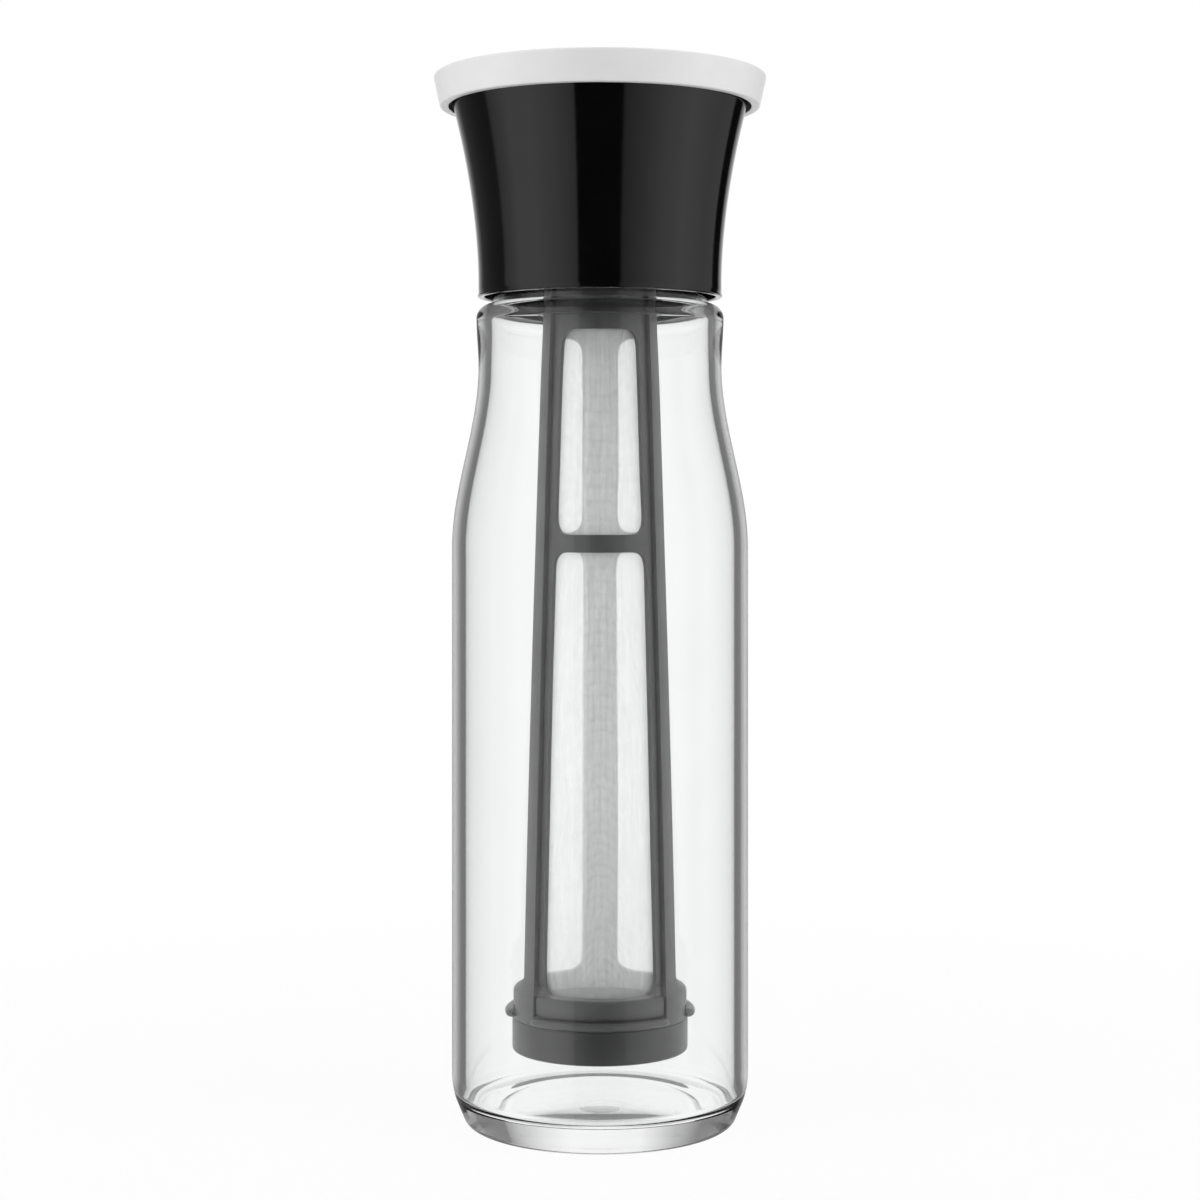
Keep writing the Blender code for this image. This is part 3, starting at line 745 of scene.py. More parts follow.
@dataclass
class GlassBottle:
    """Glass bottle with a waist, a shoulder bead and a thick recessed base."""

    neck_bore: float = 27.6
    neck_radius: float = 30.4
    waist_radius: float = 34.5
    bead_radius: float = 35.1
    body_radius: float = 42.0
    shoulder_wall: float = 3.5
    body_wall: float = 3.8
    mouth: float = 250.0
    shoulder_top: float = 232.0
    shoulder_low: float = 227.8
    bore_low: float = 230.3
    inner_shoulder: float = 3.6
    swell_top: float = 214.0
    swell_low: float = 163.0
    heel_height: float = 10.0
    heel_taper: float = 4.2
    heel_round: float = 20.0
    foot_round: float = 3.4
    foot_inner: float = 31.5
    base_recess: float = 0.8
    recess_flat: float = 25.0
    floor: float = 7.6
    floor_rise: float = 0.8
    rise_radius: float = 30.0
    floor_round: float = 3.0
    rim_round: float = 1.2
    lug_low: float = 240.0
    lug_high: float = 242.4
    lug_proud: float = 0.8
    lug_ease: float = math.radians(3)
    lug_step: float = 0.05

    def under(self, radius: float) -> float:
        """Height of the recessed underside at a radius."""
        share = max(0.0, (radius - self.recess_flat) / (self.foot_inner - self.recess_flat))
        return self.base_recess * (1 - ease(share))

    def outside(self) -> list[Point]:
        """Outer wall from the middle of the base to the shoulder.

        Returns:
            Points of the wall.
        """
        heel = rounded([(self.foot_inner, 0.0, 0.0),
                        (self.body_radius - self.heel_taper, 0.0, self.foot_round),
                        (self.body_radius, self.heel_height, self.heel_round),
                        (self.body_radius, self.swell_low, 0.0)], 10)[1:-1]
        line = [(radius, self.under(radius)) for radius in between(0.0, self.foot_inner, 30)] + heel
        line += upright(self.body_radius, between(heel[-1][1], self.swell_low, 24)[1:])
        waist = (self.waist_radius, self.swell_top)
        bead = (self.bead_radius, self.shoulder_low)
        line += eased((self.body_radius, self.swell_low), waist, 40)[1:]
        line += eased(waist, bead, 10)[1:]
        return line + quarter(bead, (self.neck_radius, self.shoulder_top), 16)[1:]

    def neck(self) -> list[Point]:
        """Neck with its rim, up the outside and down the bore.

        Returns:
            Points of the neck.
        """
        heights = between(self.shoulder_top, self.lug_low, 8)[1:-1] + [self.lug_low - self.lug_step]
        heights += between(self.lug_low, self.lug_high, 6) + [self.lug_high + self.lug_step]
        rim = rounded([(self.neck_radius, self.shoulder_top, 0),
                       (self.neck_radius, self.mouth, self.rim_round),
                       (self.neck_bore, self.mouth, self.rim_round),
                       (self.neck_bore, self.bore_low, 0)], 8)
        return upright(self.neck_radius, heights) + rim[1:-1]

    def inside(self) -> list[Point]:
        """Inner wall from the shoulder down to the middle of the floor.

        Returns:
            Points of the wall.
        """
        waist = self.waist_radius - self.shoulder_wall
        body = self.body_radius - self.body_wall
        line = quarter((self.neck_bore, self.bore_low),
                       (waist, self.bore_low - self.inner_shoulder), 18, leaves_upright=False)
        line += eased((waist, self.swell_top), (body, self.swell_low), 40)
        corner = self.floor + self.floor_round
        line += upright(body, between(self.swell_low, corner, 24)[1:])
        line += quarter((body, corner), (body - self.floor_round, self.floor), 14)[1:]
        for radius in between(body - self.floor_round, 0.0, 30)[1:]:
            share = max(0.0, 1 - radius / self.rise_radius)
            line.append((radius, self.floor + self.floor_rise * ease(share)))
        return line

    def dress(self, glass: Finish) -> None:
        """Spin the bottle with its lugs and set it in its place.

        Args:
            glass: Finish of the bottle.
        """
        lugs = lug_push(self.lug_ease, self.lug_low, self.lug_high, self.neck_radius, self.lug_proud)
        outline = self.outside() + self.neck() + self.inside()
        bottle = settle(turned("bottle_glass", outline, FINE_TURN, lugs), glass, Body.BOTTLE,
                        "glass_bottle")
        bottle.visible_shadow = False


@dataclass
class Collar:
    """Flared collar: skirt, sleeve, gasket, funnel and the hub of the infuser."""

    skirt_radius: float = 34.55
    skirt_wall: float = 1.75
    skirt_low: float = 233.8
    skirt_top: float = 289.5
    flare: float = 7.55
    flare_power: float = 1.8
    flare_start: float = 4.2
    lip: float = 0.2
    lip_step: float = 0.25
    lip_height: float = 0.9
    sleeve_bore: float = 31.5
    sleeve_radius: float = 32.5
    sleeve_low: float = 236.0
    sleeve_top: float = 256.0
    sleeve_edge: float = 0.2
    lug_low: float = 237.2
    lug_high: float = 239.6
    lug_proud: float = 0.8
    lug_ease: float = math.radians(2)
    lug_step: float = 0.05
    gasket: tuple[float, float, float, float] = (27.3, 31.2, 250.3, 252.1)
    gasket_edge: float = 0.6
    throat: float = 25.4
    tube_radius: float = 27.0
    tube_low: float = 240.0
    seat_step: float = 0.8
    flange_radius: float = 31.2
    flange_low: float = 252.4
    flange_top: float = 254.0
    throat_top: float = 264.0
    bowl_mouth: float = 38.4
    bowl_power: float = 1.4
    lip_radius: float = 42.3
    lip_low: float = 289.8
    lip_top: float = 291.3
    hub: tuple[float, float, float, float] = (17.5, 25.1, 241.1, 247.1)
    hub_edge: float = 0.3
    slots: Point = (19.0, 23.9)
    slot_reach: float = 3.0
    web_half: float = math.radians(5)

    def wall(self, height: float) -> float:
        """Outer radius of the skirt.

        Args:
            height: Height of the point.

        Returns:
            Its radius.
        """
        start = self.skirt_low + self.flare_start
        share = max(0.0, (height - start) / (self.skirt_top - start))
        return self.skirt_radius + self.flare * share ** self.flare_power

    def skirt(self) -> Piece:
        """Flared outer shell with a fine lip at its lower edge.

        Returns:
            The skirt.
        """
        heights = between(self.skirt_low + self.lip_height, self.skirt_top - 0.4, 48)
        outer = [(self.wall(height), height) for height in heights]
        inner = [(self.wall(height) - self.skirt_wall, height) for height in reversed(heights)]
        crown, bore = self.wall(self.skirt_top), self.skirt_radius - self.skirt_wall
        top = [(crown - 0.1, self.skirt_top - 0.12), (crown - 0.4, self.skirt_top),
               (crown - self.skirt_wall + 0.3, self.skirt_top)]
        low = [(bore + 0.1, self.skirt_low + self.lip_step), (bore + 0.4, self.skirt_low),
               (self.skirt_radius - 0.15, self.skirt_low)]
        low += upright(self.skirt_radius + self.lip,
                       (self.skirt_low + self.lip_step, self.skirt_low + 2 * self.lip_step))
        return turned("collar_skirt_shell", outer + top + inner + low, FINE_TURN)

    def sleeve(self) -> Piece:
        """Inner sleeve with four lugs that grip the neck.

        Returns:
            The sleeve.
        """
        edge = self.sleeve_edge
        low, top, bore, outer = self.sleeve_low, self.sleeve_top, self.sleeve_bore, self.sleeve_radius
        outline = upright(bore, (top - edge, self.lug_high + self.lug_step, self.lug_high,
                                 self.lug_low, self.lug_low - self.lug_step, low + edge))
        outline += [(bore + edge, low), (outer - edge, low), (outer, low + edge),
                    (outer, top - edge), (outer - edge, top), (bore + edge, top)]
        lugs = lug_push(self.lug_ease, self.lug_low, self.lug_high, bore, -self.lug_proud)
        return turned("collar_sleeve", outline, PART_TURN, lugs)

    def funnel(self) -> Piece:
        """Pouring bowl, lip, flange and throat tube in one moulding.

        Returns:
            The funnel.
        """
        bowl = [(self.throat + (self.bowl_mouth - self.throat) * share ** self.bowl_power,
                 self.throat_top + (self.lip_top - self.throat_top) * share) for share in shares(24)]
        wall = self.tube_radius - self.throat
        back = [(radius + wall, height) for radius, height in bowl if height < self.lip_low - wall]
        ring = rounded([(back[-1][0] + wall, self.lip_low, 0.4), (self.lip_radius, self.lip_low, 0.6),
                        (self.lip_radius, self.lip_top, 0.6),
                        (bowl[-1][0] + 0.3, self.lip_top, 0.3)], 4)
        seat, seat_bore = self.hub[2] - FIT, self.throat - self.seat_step
        tube = rounded([(self.throat, self.throat_top, 0), (self.throat, seat, 0),
                        (seat_bore, seat, 0.1), (seat_bore, self.tube_low, 0.2),
                        (self.tube_radius, self.tube_low, 0.3),
                        (self.tube_radius, self.flange_low, 0.2),
                        (self.flange_radius, self.flange_low, 0.3),
                        (self.flange_radius, self.flange_top, 0.3),
                        (self.tube_radius, self.flange_top, 0.2),
                        (self.tube_radius, self.throat_top, 0)], 3)
        return turned("collar_funnel", list(reversed(bowl))[:-1] + tube[:-1] + back + ring, ROUND_TURN)

    def hub_ring(self) -> Piece:
        """Ring on three webs, open between them for the drink.

        Returns:
            The hub.
        """
        hub = turned("collar_hub", band(*self.hub, self.hub_edge, 3), PART_TURN)
        heights = (self.hub[2] - self.slot_reach, self.hub[3] + self.slot_reach)
        combine(hub, blocks("slots", self.slots, heights, THIRDS, SIXTH - self.web_half, 28), Join.CUT)
        soften(hub, 30)
        return hub

    def dress(self, black: Finish, rubber: Finish) -> None:
        """Build the collar's pieces and set them in their places.

        Args:
            black: Finish of the mouldings.
            rubber: Finish of the gasket.
        """
        for build, node in ((self.skirt, "collar_skirt"), (self.sleeve, "neck_sleeve"),
                            (self.funnel, "pour_funnel"), (self.hub_ring, "infuser_hub")):
            settle(build(), black, Body.COLLAR, node)
        ring = band(*self.gasket, self.gasket_edge, 5)
        settle(turned("collar_gasket", ring, PART_TURN), rubber, Body.NECK_SEAL,
               "neck_gasket")


@dataclass
class Lid:
    """White cap over a hollow black stopper with a finned seal."""

    cap_low: float = 287.8
    cap_underside: float = 294.2
    cap_top: float = 296.6
    cap_low_radius: float = 45.4
    cap_radius: float = 47.3
    cap_wall: float = 2.5
    cap_middle: float = 30.0
    top_round: float = 0.8
    low_round: float = 0.7
    plug_radius: float = 24.0
    plug_wall: float = 1.8
    plug_low: float = 252.7
    plug_round: float = 1.3
    plug_edge: float = 0.15
    flange_radius: float = 40.5
    flange_low: float = 291.6
    flange_top: float = 293.9
    groove: float = 0.6
    seal_low: float = 257.3
    seal_high: float = 261.3
    seal_radius: float = 25.1
    seal_dip: float = 0.4

    def cap(self) -> Piece:
        """Cap with a tapered rim and soft edges.

        Returns:
            The cap.
        """
        share = (self.cap_underside - self.cap_low) / (self.cap_top - self.cap_low)
        corner = self.cap_low_radius + (self.cap_radius - self.cap_low_radius) * share
        rim = rounded([(0, self.cap_top, 0), (0, self.cap_underside, 0),
                       (corner - self.cap_wall, self.cap_underside, self.low_round),
                       (self.cap_low_radius - self.cap_wall, self.cap_low, self.low_round / 2),
                       (self.cap_low_radius, self.cap_low, self.low_round),
                       (self.cap_radius, self.cap_top, self.top_round)], 8)[2:]
        middle = [(0.0, self.cap_top), (0.0, self.cap_underside), (self.cap_middle, self.cap_underside)]
        return turned("lid_cap_shell", middle + rim + [(self.cap_middle, self.cap_top)], FINE_TURN)

    def plug(self) -> Piece:
        """Hollow stopper with a seal groove and a flange under the cap.

        Returns:
            The stopper.
        """
        outer, bore = self.plug_radius, self.plug_radius - self.plug_wall
        dip = self.plug_radius - self.groove
        floor = self.plug_low + self.plug_wall
        low, high, small = self.seal_low - FIT, self.seal_high + FIT, self.plug_edge
        outline = rounded([(0, self.plug_low, 0), (outer, self.plug_low, self.plug_round),
                           (outer, low, small), (dip, low, small), (dip, high, small),
                           (outer, high, small), (outer, self.flange_low, small),
                           (self.flange_radius, self.flange_low, 0.5),
                           (self.flange_radius, self.flange_top, 0.5),
                           (bore, self.flange_top, 0.4), (bore, floor, 1.0), (0, floor, 0)], 5)
        return turned("lid_stopper", outline, ROUND_TURN)

    def seal(self) -> Piece:
        """Ring with two soft fins.

        Returns:
            The ring.
        """
        bore = self.plug_radius - self.groove + FIT
        fins = [(self.seal_radius - self.seal_dip * (1 - math.cos(4 * math.pi * share)) / 2, height)
                for share, height in zip(shares(24), between(self.seal_low, self.seal_high, 24))]
        return turned("lid_seal", fins + upright(bore, (self.seal_high, self.seal_low)), PART_TURN)

    def dress(self, white: Finish, black: Finish,
              rubber: Finish) -> None:
        """Build the lid's pieces and set them in their places.

        Args:
            white: Finish of the cap.
            black: Finish of the stopper.
            rubber: Finish of the seal.
        """
        settle(self.cap(), white, Body.LID, "lid_cap")
        settle(self.plug(), black, Body.LID, "lid_plug")
        settle(self.seal(), rubber, Body.LID, "plug_seal")


@dataclass
class Infuser:
    """Tapered frame with three pairs of windows round a rolled mesh sleeve."""

    wall: float = 1.2
    bow: float = 0.45
    top_radius: float = 15.5
    foot_wall_radius: float = 21.65
    stop_low: float = 239.2
    stop_top: float = 240.8
    stop_radius: float = 18.4
    head_radius: float = 17.2
    spigot_top: float = 246.8
    rib: float = 1.25
    rib_half: float = math.radians(7.5)
    line_half: float = math.radians(0.45)
    line_depth: float = 0.3
    line_reach: float = 4.0
    head_ring: Point = (229.7, 231.3)
    head_ring_step: float = 1.8
    groove_half: float = math.radians(2.0)
    groove_height: float = 0.9
    groove_depth: float = 1.0
    groove_rise: float = 2.3
    cut_reach: float = 5.0
    lower_rails: Point = (math.radians(14.0), math.radians(15.6))
    upper_rails: Point = (math.radians(16.8), math.radians(19.6))
    window_reach: Point = (8.0, 30.0)
    slit: float = 1.2
    slit_reach: Point = (12.0, 22.0)
    upper_window: Point = (166.6, 224.6)
    lower_window: Point = (38.9, 161.8)
    window_round: float = 5.4
    foot_low: float = 30.6
    foot_top: float = 38.9
    slope_top: float = 41.2
    foot_radius: float = 24.9
    foot_recess: float = 0.3
    foot_round: float = 1.3
    bead_raise: float = 0.1
    bead_proud: float = 2.1
    bead_thickness: float = 2.7
    bead_inset: float = 0.08
    bead_half: float = math.radians(47)
    bead_blunt: float = 0.25
    bead_steep: float = 22.0
    spigot_low: float = 25.0
    low_spigot_radius: float = 22.9
    flare_reach: float = 2.0
    sheet: float = 0.35
    lap_centre: float = math.radians(195)
    lap: float = math.radians(6)
    sheet_low: float = 34.2
    sheet_high: float = 228.2
    rails: tuple[float, ...] = (math.pi / 3, math.pi, 5 * math.pi / 3)

    @property
    def bead_middle(self) -> float:
        """Height of the middle of the bumpers."""
        return self.foot_low + self.bead_raise + self.bead_thickness / 2

    @property
    def bead_top(self) -> float:
        """Height of the upper edge of the bumpers."""
        return self.foot_low + self.bead_raise + self.bead_thickness - self.bead_inset

    def radius(self, height: float) -> float:
        """Outer radius of the tapered wall.

        Args:
            height: Height of the point.

        Returns:
            Its radius.
        """
        share = clamp((self.stop_low - height) / (self.stop_low - self.slope_top))
        straight = self.top_radius + (self.foot_wall_radius - self.top_radius) * share
        return straight + 4 * self.bow * share * (1 - share)

    def window_outline(self, low: float, high: float, rails: Point) -> list[Point]:
        """Rounded window between two rails.

        Args:
            low: Height of its foot.
            high: Height of its head.
            rails: Half angles of the rails at its foot and head.

        Returns:
            (half width, height) points of the window.
        """
        below, above = ((self.radius(height) - self.wall) * math.sin(SIXTH - rail)
                        for height, rail in zip((low, high), rails))
        return rounded([(-below, low, self.window_round), (below, low, self.window_round),
                        (above, high, self.window_round), (-above, high, self.window_round)], 12)

    def window_tool(self) -> Piece:
        """Six window-shaped wedges whose sides lie on planes through the axis.

        Returns:
            The tool.
        """
        shape = bmesh.new()
        for (low, high), rails in ((self.lower_window, self.lower_rails),
                                   (self.upper_window, self.upper_rails)):
            outline = []
            for wide, height in self.window_outline(low, high, rails):
                rail = rails[0] + (rails[1] - rails[0]) * (height - low) / (high - low)
                near = (self.radius(height) - self.wall) * math.cos(SIXTH - rail)
                outline.append((wide / near, height))
            for angle in THIRDS:
                loft(shape, [[(depth * (slope * math.cos(angle) + math.sin(angle)),
                               depth * (slope * math.sin(angle) - math.cos(angle)), height)
                              for slope, height in outline] for depth in self.window_reach])
        return make_object("windows", shape)

    def rib_edge(self, wall: float, reach: float) -> float:
        """Half angle of a rib at a radius, so that its edge runs straight down."""
        across = (wall + self.rib) * math.sin(SIXTH - self.rib_half)
        return SIXTH - math.asin(across / reach)

    def foot_edge(self) -> float:
        """Half angle of a rib on the foot."""
        return self.rib_edge(self.foot_wall_radius, self.foot_radius)

    def ribs(self) -> Piece:
        """Raised ribs that run down the rails and flare into the foot.

        Returns:
            The ribs.
        """
        shape = bmesh.new()
        flare_top = self.slope_top + self.flare_reach
        heights = [self.foot_low + self.bead_raise] + between(self.foot_top, flare_top, 8)
        heights += between(flare_top, (self.stop_low + self.stop_top) / 2, 20)[1:]
        for centre in self.rails:
            rings = []
            for height in heights:
                wall = self.radius(height)
                share = clamp((flare_top - height) / (flare_top - self.foot_top))
                reach = wall + self.rib
                reach += (self.foot_radius - reach) * share ** 2
                rings.append(sector(wall - self.wall / 2, reach, height, centre,
                                    self.rib_edge(wall, reach), 6))
            loft(shape, rings)
        return make_object("ribs", shape)

    def beads(self) -> Piece:
        """Half-round bumpers round the foot, one below each window.

        Returns:
            The bumpers.
        """
        shape = bmesh.new()
        middle = self.bead_middle
        bury = self.foot_radius - self.bead_proud / 2
        for centre in THIRDS:
            rings = []
            for share in shares(44):
                angle = centre + self.bead_half * (2 * share - 1)
                rise = (1 - self.bead_blunt) * min(share, 1 - share) * self.bead_steep
                swell = math.sin(min(1.0, self.bead_blunt + rise) * QUARTER)
                half = (self.bead_thickness / 2 - self.bead_inset) * swell
                ring = [around(self.foot_radius + self.bead_proud * swell * math.cos(turn), angle,
                               middle + half * math.sin(turn))
                        for turn in between(-QUARTER, QUARTER, 10)]
                ring += [around(bury, angle, height) for height in (middle + half, middle - half)]
                rings.append(ring)
            loft(shape, rings)
        return make_object("beads", shape)

    def lines(self) -> Piece:
        """Fine grooves that run up the rails along both sides of the ribs.

        Returns:
            The tool.
        """
        shape = bmesh.new()
        heights = between(self.slope_top, self.head_ring[0], 24)
        for rail in self.rails:
            for side in (-1, 1):
                centre = rail + side * (self.rib_half + self.line_half)
                loft(shape, [sector(self.radius(height) - self.line_depth,
                                    self.radius(height) + self.line_reach,
                                    height, centre, self.line_half, 2) for height in heights])
        return make_object("lines", shape)

    def cuts(self) -> list[Piece]:
        """Grooves, windows and slits in the order in which they are cut.

        Returns:
            The tools.
        """
        skin = (self.foot_radius - self.groove_depth, self.foot_radius + self.cut_reach)
        top = self.bead_top
        edge = self.foot_edge()
        above_beads = (top, top + self.groove_height)
        spigot = (self.stop_top + FIT, self.spigot_top + self.cut_reach)
        beside_ribs = (top, self.slope_top + self.groove_rise)
        return [blocks("notches", skin, beside_ribs, self.rails, edge + self.groove_half, 8),
                blocks("bead_grooves", skin, above_beads, THIRDS,
                       SIXTH - edge - self.groove_half / 2, 24),
                self.lines(), self.window_tool(),
                blocks("slits", self.slit_reach, spigot, self.rails,
                       self.slit / 2 / self.head_radius, 1)]

    def outline(self) -> list[Point]:
        """Section of the frame, up the outside and down the bore.

        Returns:
            Points of the closed outline.
        """
        wall = between(self.slope_top, self.stop_low, 30)
        middle = self.bead_middle
        recessed = self.foot_radius - self.foot_recess
        low, high = self.head_ring
        proud = self.radius(low) + self.head_ring_step
        line = upright(self.low_spigot_radius, (self.spigot_low, self.foot_low))
        line += upright(self.foot_radius, (self.foot_low, middle)) + [(recessed, middle)]
        line += quarter((recessed, self.foot_top - self.foot_round),
                        (recessed - self.foot_round, self.foot_top), 5)
        line += [(self.radius(height), height) for height in wall if height < low]
        line += [(self.radius(low), low), (proud, low), (proud, high), (self.radius(high), high),
                 (self.radius(self.stop_low), self.stop_low)]
        line += upright(self.stop_radius, (self.stop_low, self.stop_top))
        line += upright(self.head_radius, (self.stop_top, self.spigot_top))
        line.append((self.top_radius - self.wall, self.spigot_top))
        line += [(self.radius(height) - self.wall, height) for height in reversed(wall)]
        return line + [(self.foot_wall_radius - self.wall, self.spigot_low)]

    def frame(self) -> Piece:
        """Frame with windows, ribs, foot ring, bumpers and a slit spigot.

        Returns:
            The frame.
        """
        made = turned("infuser_cage", self.outline(), PART_TURN)
        for tool in self.cuts():
            combine(made, tool, Join.CUT)
        for extra in (self.ribs(), self.beads()):
            combine(made, extra, Join.ADD)
        soften(made, 28)
        return made

    def sleeve(self) -> Piece:
        """Mesh sheet rolled into a tapered sleeve, with its lap behind.

        Returns:
            The sleeve.
        """
        shape = bmesh.new()
        sweep = 2 * math.pi + self.lap
        heights = between(self.sheet_low, self.sheet_high, 40)
        columns = []
        for share in shares(150):
            angle = self.lap_centre - self.lap / 2 + sweep * share
            inset = self.wall + FIT + self.sheet / 2 + (self.sheet + FIT) * share
            columns.append([shape.verts.new(around(self.radius(height) - inset, angle, height))
                            for height in heights])
        for left, right in zip(columns, columns[1:]):
            for row in range(len(heights) - 1):
                shape.faces.new((left[row], right[row], right[row + 1], left[row + 1]))
        return make_object("infuser_sleeve", shape, 60)

    def dress(self, grey: Finish, woven: Finish) -> None:
        """Build the infuser's pieces and set them in their places.

        Args:
            grey: Finish of the frame.
            woven: Finish of the mesh.
        """
        cage = settle(self.frame(), grey, Body.INFUSER, "infuser_frame")
        sleeve = settle(self.sleeve(), woven, Body.INFUSER, "infuser_mesh")
        width = (2 * math.pi + self.lap) * (self.radius(self.sheet_low) - self.wall) * MM


@dataclass
class EndCap:
    """Cup that closes the foot of the infuser, with its seal."""

    radius: float = 24.9
    low: float = 21.2
    high: float = 30.48
    wall: float = 1.7
    floor: float = 1.8
    edge: float = 0.9
    seal_ring: tuple[float, float, float, float] = (20.6, 22.9, 23.3, 24.7)
    seal_edge: float = 0.4

    def cup(self) -> Piece:
        """Shallow cup with a rounded lower edge.

        Returns:
            The cup.
        """
        bore = self.radius - self.wall
        floor = self.low + self.floor
        outline = rounded([(0, self.low, 0), (self.radius, self.low, self.edge),
                           (self.radius, self.high, 0.05), (bore, self.high, 0.2),
                           (bore, floor, 0.4), (0, floor, 0)], 6)
        return turned("foot_cup", outline, ROUND_TURN)

    def dress(self, grey: Finish, rubber: Finish) -> None:
        """Build the cup and the ring in it and set them in their places.

        Args:
            grey: Finish of the cup.
            rubber: Finish of the seal.
        """
        settle(self.cup(), grey, Body.FOOT_CAP, "end_cap")
        seal = turned("foot_seal", band(*self.seal_ring, self.seal_edge, 4), SMALL_TURN)
        settle(seal, rubber, Body.FOOT_CAP, "end_cap_seal")


@dataclass
class Studio:
    """Camera, lamps, pale floor and a white surround with darker sides."""

    distance: float = 0.688
    eye_height: float = 0.1772
    lens: float = 72.57
    sensor: float = 36.0
    shift: float = -0.0858
    clip: Point = (0.01, 20.0)
    lamp_aim: Place = (0.0, 0.0, 0.17)
    lamps: tuple[tuple[str, Place, Point, float], ...] = (
        ("left_lamp", (-0.85, -0.35, 0.4), (0.7, 1.1), 4.7),
        ("right_lamp", (0.85, -0.35, 0.4), (0.7, 1.1), 4.3),
        ("top_lamp", (0.0, 0.1, 1.1), (0.9, 0.9), 3.4))
    floor_size: float = 0.45
    floor_depth: float = 4.0
    floor_tones: Point = (0.86, 0.88)
    floor_grain: float = 40.0
    floor_roughness: float = 0.9
    glow_near: float = 0.9
    glow_from: float = 0.12
    glow_full: float = 0.9
    fill: float = 0.5
    inside_fill: float = 2.4
    plain_share: float = 0.08
    floor_turn: Point = (-0.26, -0.42)
    floor_share: float = 0.3
    rear_turn: Point = (-0.1, 0.3)
    wall_crossings: float = 3.0
    wall_least: float = 0.2
    glass_share: float = 0.35
    surround: tuple[Point, ...] = (
        (-180, 1.0), (-169, 0.95), (-157, 0.5), (-144, 0.13), (-117, 0.1), (-102, 0.1),
        (-99, 0.42), (-88, 0.68), (-80, 0.95), (-60, 1.05), (-40, 0.85), (-21, 0.55), (-20, 0.02),
        (19, 0.02), (20, 0.33), (40, 0.6), (60, 0.9), (80, 1.0), (95, 0.75), (110, 0.5),
        (131, 0.3), (132.5, 0.01), (148.5, 0.01), (150, 0.3), (157, 0.6), (165, 0.85),
        (172, 1.0), (180, 1.0))

    def camera(self) -> None:
        """Camera at the viewing angle of the picture."""
        data = bpy.data.cameras.new("camera")
        data.lens = self.lens
        data.sensor_width = self.sensor
        data.shift_y = self.shift
        data.clip_start, data.clip_end = self.clip
        made = bpy.data.objects.new("camera", data)
        made.location = (0.0, -self.distance, self.eye_height)
        made.rotation_euler = (QUARTER, 0.0, 0.0)
        bpy.context.scene.collection.objects.link(made)
        bpy.context.scene.camera = made

    def lamp(self, name: str, place: Place, size: Point, power: float) -> None:
        """Add a soft rectangular lamp.

        Args:
            name: Name of the lamp.
            place: Its middle in metres.
            size: Width and height in metres.
            power: Power in watts.
        """
        data = bpy.data.lights.new(name, "AREA")
        data.shape = "RECTANGLE"
        data.size, data.size_y = size
        data.energy = power
        made = bpy.data.objects.new(name, data)
        made.location = place
        away = made.location - type(made.location)(self.lamp_aim)
        made.rotation_euler = away.to_track_quat("Z", "Y").to_euler()
        made.visible_glossy = False
        made.visible_transmission = False
        made.visible_camera = False
        bpy.context.scene.collection.objects.link(made)

    def floor(self) -> None:
        """Pale floor that keeps the shadow and looks white to the camera."""
        shape = bmesh.new()
        loft(shape, [[around(self.floor_size / MM, 2 * math.pi * index / FLOOR_TURN, height)
                      for index in range(FLOOR_TURN)] for height in (-self.floor_depth, 0.0)])
        made = make_object("floor", shape)
        sheet = NodeSheet("pale_floor")
        inputs = sheet.shader.inputs
        low, high = ((tone, tone, tone) for tone in self.floor_tones)
        grain = sheet.spread(sheet.noise(self.floor_grain))
        sheet.feed(sheet.grey(grain, low, high), inputs["Base Color"])
        inputs["Roughness"].default_value = self.floor_roughness
        inputs["Specular IOR Level"].default_value = 0.0
        glow = sheet.add("ShaderNodeEmission")
        glow.inputs["Strength"].default_value = 1.0
        mix = sheet.add("ShaderNodeMixShader")
        path = sheet.add("ShaderNodeLightPath").outputs
        seen = sheet.math("MAXIMUM", path["Is Camera Ray"], path["Is Glossy Ray"])
        seen = sheet.math("MAXIMUM", seen, path["Is Transmission Ray"])
        reach = sheet.add("ShaderNodeVectorMath", operation="LENGTH")
        sheet.feed(sheet.place(), reach.inputs[0])
        fade = sheet.scaled(reach.outputs["Value"], (self.glow_from, self.floor_size * self.glow_full),
                            (self.glow_near, 1.0))
        sheet.feed(sheet.math("MULTIPLY", seen, fade), mix.inputs["Fac"])
        sheet.feed(sheet.shader.outputs["BSDF"], mix.inputs[1])
        sheet.feed(glow.outputs["Emission"], mix.inputs[2])
        sheet.feed(mix.outputs["Shader"], sheet.tree.nodes["Material Output"].inputs["Surface"])
        made.data.materials.append(sheet.material)
        made.visible_glossy = False
        made.visible_transmission = False

    def level(self, nodes: Nodes, split: bpy.types.Node) -> Socket:
        """Brightness of the surround by its angle from the front.

        Args:
            nodes: Nodes of the surround.
            split: Node that holds the parts of the direction.

        Returns:
            The brightness.
        """
        turn = nodes.math("MULTIPLY", split.outputs["Y"], -1.0)
        turn = nodes.math("ARCTAN2", split.outputs["X"], turn)
        turn = nodes.math("MULTIPLY_ADD", turn, 1 / (2 * math.pi), 0.5)
        ramp = nodes.add("ShaderNodeValToRGB")
        nodes.feed(turn, ramp.inputs["Fac"])
        stops = ramp.color_ramp.elements
        while len(stops) > 1:
            stops.remove(stops[0])
        for index, (angle, tone) in enumerate(self.surround):
            at = (angle + 180) / 360
            stop = stops[0] if index == 0 else stops.new(at)
            stop.position = at
            stop.color = (tone, tone, tone, 1.0)
        sides = nodes.add("ShaderNodeSeparateColor")
        nodes.feed(ramp.outputs["Color"], sides.inputs["Color"])
        return sides.outputs["Red"]

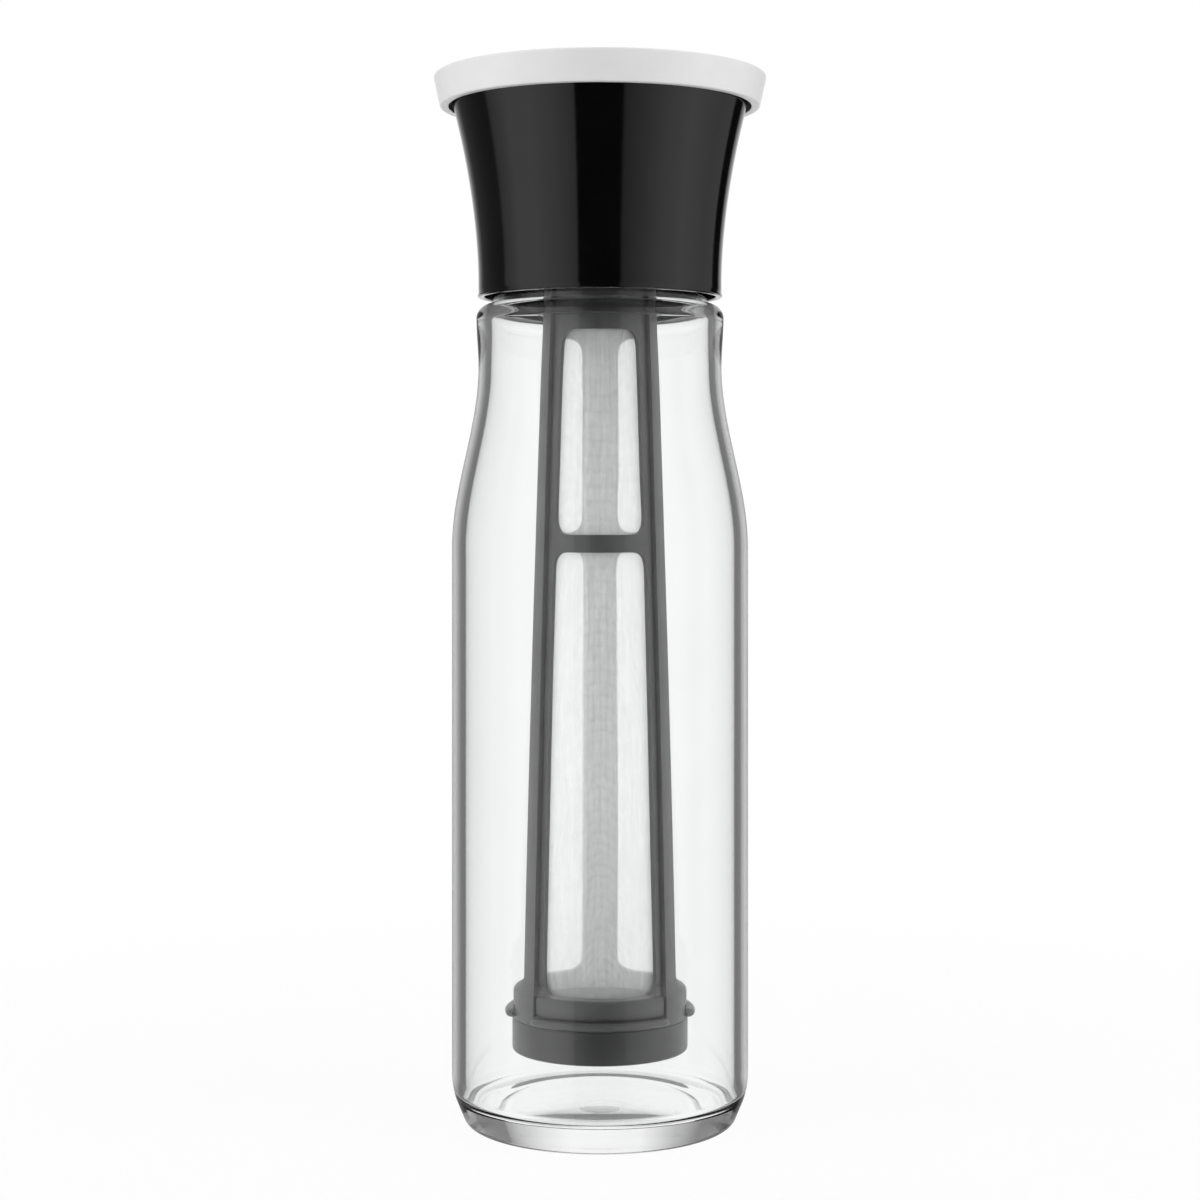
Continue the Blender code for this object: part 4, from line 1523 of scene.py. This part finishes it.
    def through_glass(self, nodes: Nodes, split: bpy.types.Node, path: bpy.types.Node,
                      level: Socket) -> Socket:
        """Brightness that is seen through glass.

        Plain views meet white. Views that turned back inside the glass meet the
        surround, with a white rear when they also crossed the space inside it.

        Args:
            nodes: Nodes of the surround.
            split: Node that holds the parts of the direction.
            path: Node of the light path.
            level: Brightness of the surround.

        Returns:
            The brightness.
        """
        depth = path.outputs["Transmission Depth"]
        turned_back = nodes.math("SUBTRACT", path.outputs["Ray Depth"], depth)
        turned_back = nodes.math("MINIMUM", turned_back, 1.0)
        steep = nodes.scaled(split.outputs["Z"], self.floor_turn)
        steep = nodes.math("MULTIPLY_ADD", steep, -self.floor_share, 1.0)
        share = nodes.math("MULTIPLY", nodes.math("MAXIMUM", turned_back, self.plain_share), steep)
        rear = nodes.scaled(split.outputs["Y"], self.rear_turn)
        crossed = nodes.math("SUBTRACT", depth, self.wall_crossings)
        crossed = nodes.math("MINIMUM", nodes.math("MAXIMUM", crossed, 0.0), 1.0)
        inner = nodes.blend(crossed, nodes.math("MAXIMUM", level, self.wall_least),
                            nodes.math("MAXIMUM", level, rear))
        return nodes.blend(share, 1.0, inner)

    def surroundings(self) -> None:
        """White surround with the darker sides that black and glass mirror."""
        world = bpy.data.worlds.new("surround")
        bpy.context.scene.world = world
        world.use_nodes = True
        nodes = Nodes(world.node_tree)
        split = nodes.add("ShaderNodeSeparateXYZ")
        nodes.feed(nodes.add("ShaderNodeTexCoord").outputs["Generated"], split.inputs["Vector"])
        level = self.level(nodes, split)
        light = nodes.add("ShaderNodeLightPath")
        path = light.outputs
        through = self.through_glass(nodes, split, light, level)
        mirror = nodes.math("MULTIPLY_ADD", path["Is Singular Ray"], self.glass_share - 1.0, 1.0)
        mirror = nodes.math("MULTIPLY", level, mirror)
        value = nodes.blend(path["Is Glossy Ray"], self.fill, mirror)
        value = nodes.blend(path["Is Transmission Ray"], value, through)
        value = nodes.blend(path["Is Camera Ray"], value, 1.0)
        lit = nodes.math("MINIMUM", path["Diffuse Depth"], 1.0)
        inside = nodes.blend(path["Is Transmission Ray"], self.fill, self.inside_fill)
        back = nodes.tree.nodes["Background"].inputs
        nodes.feed(nodes.blend(lit, value, inside), back["Strength"])
        back["Color"].default_value = (1.0, 1.0, 1.0, 1.0)

    def dress(self) -> None:
        """Set up the whole studio."""
        self.camera()
        for name, place, size, power in self.lamps:
            self.lamp(name, place, size, power)
        self.floor()
        self.surroundings()


def main() -> None:
    """Build the carafe and its studio in order."""
    logging.basicConfig(level=logging.INFO, format="%(name)s %(message)s")
    bpy.context.scene.view_settings.view_transform = "Standard"
    glass = BottleGlass("bottle_glass", (0.97, 0.975, 0.975)).make()
    black = MouldedPlastic("collar_black", (0.001, 0.001, 0.001), (0.002, 0.002, 0.002),
                           (0.07, 0.1), grain=3.0, grain_depth=0.002).make()
    white = MouldedPlastic("lid_white", (0.8, 0.8, 0.8), (0.83, 0.83, 0.83),
                           (0.34, 0.42), grain=0.35, grain_depth=0.006, edge=0.2).make()
    grey = MouldedPlastic("cage_grey", (0.029, 0.029, 0.0295), (0.037, 0.037, 0.0375),
                          (0.32, 0.38), grain=0.5, grain_depth=0.001, specular=0.9).make()
    dark = MouldedPlastic("foot_grey", (0.012, 0.012, 0.0125), (0.018, 0.018, 0.0185),
                          (0.32, 0.38), grain=0.5, grain_depth=0.001, specular=0.9).make()
    rubber = SoftRubber("seal_rubber", (0.72, 0.73, 0.74)).make()
    woven = WovenMesh("filter_mesh", (0.82, 0.82, 0.82)).make()
    Studio().dress()
    GlassBottle().dress(glass)
    Collar().dress(black, rubber)
    Lid().dress(white, black, rubber)
    Infuser().dress(grey, woven)
    EndCap().dress(dark, rubber)


if __name__ == "__main__":
    main()
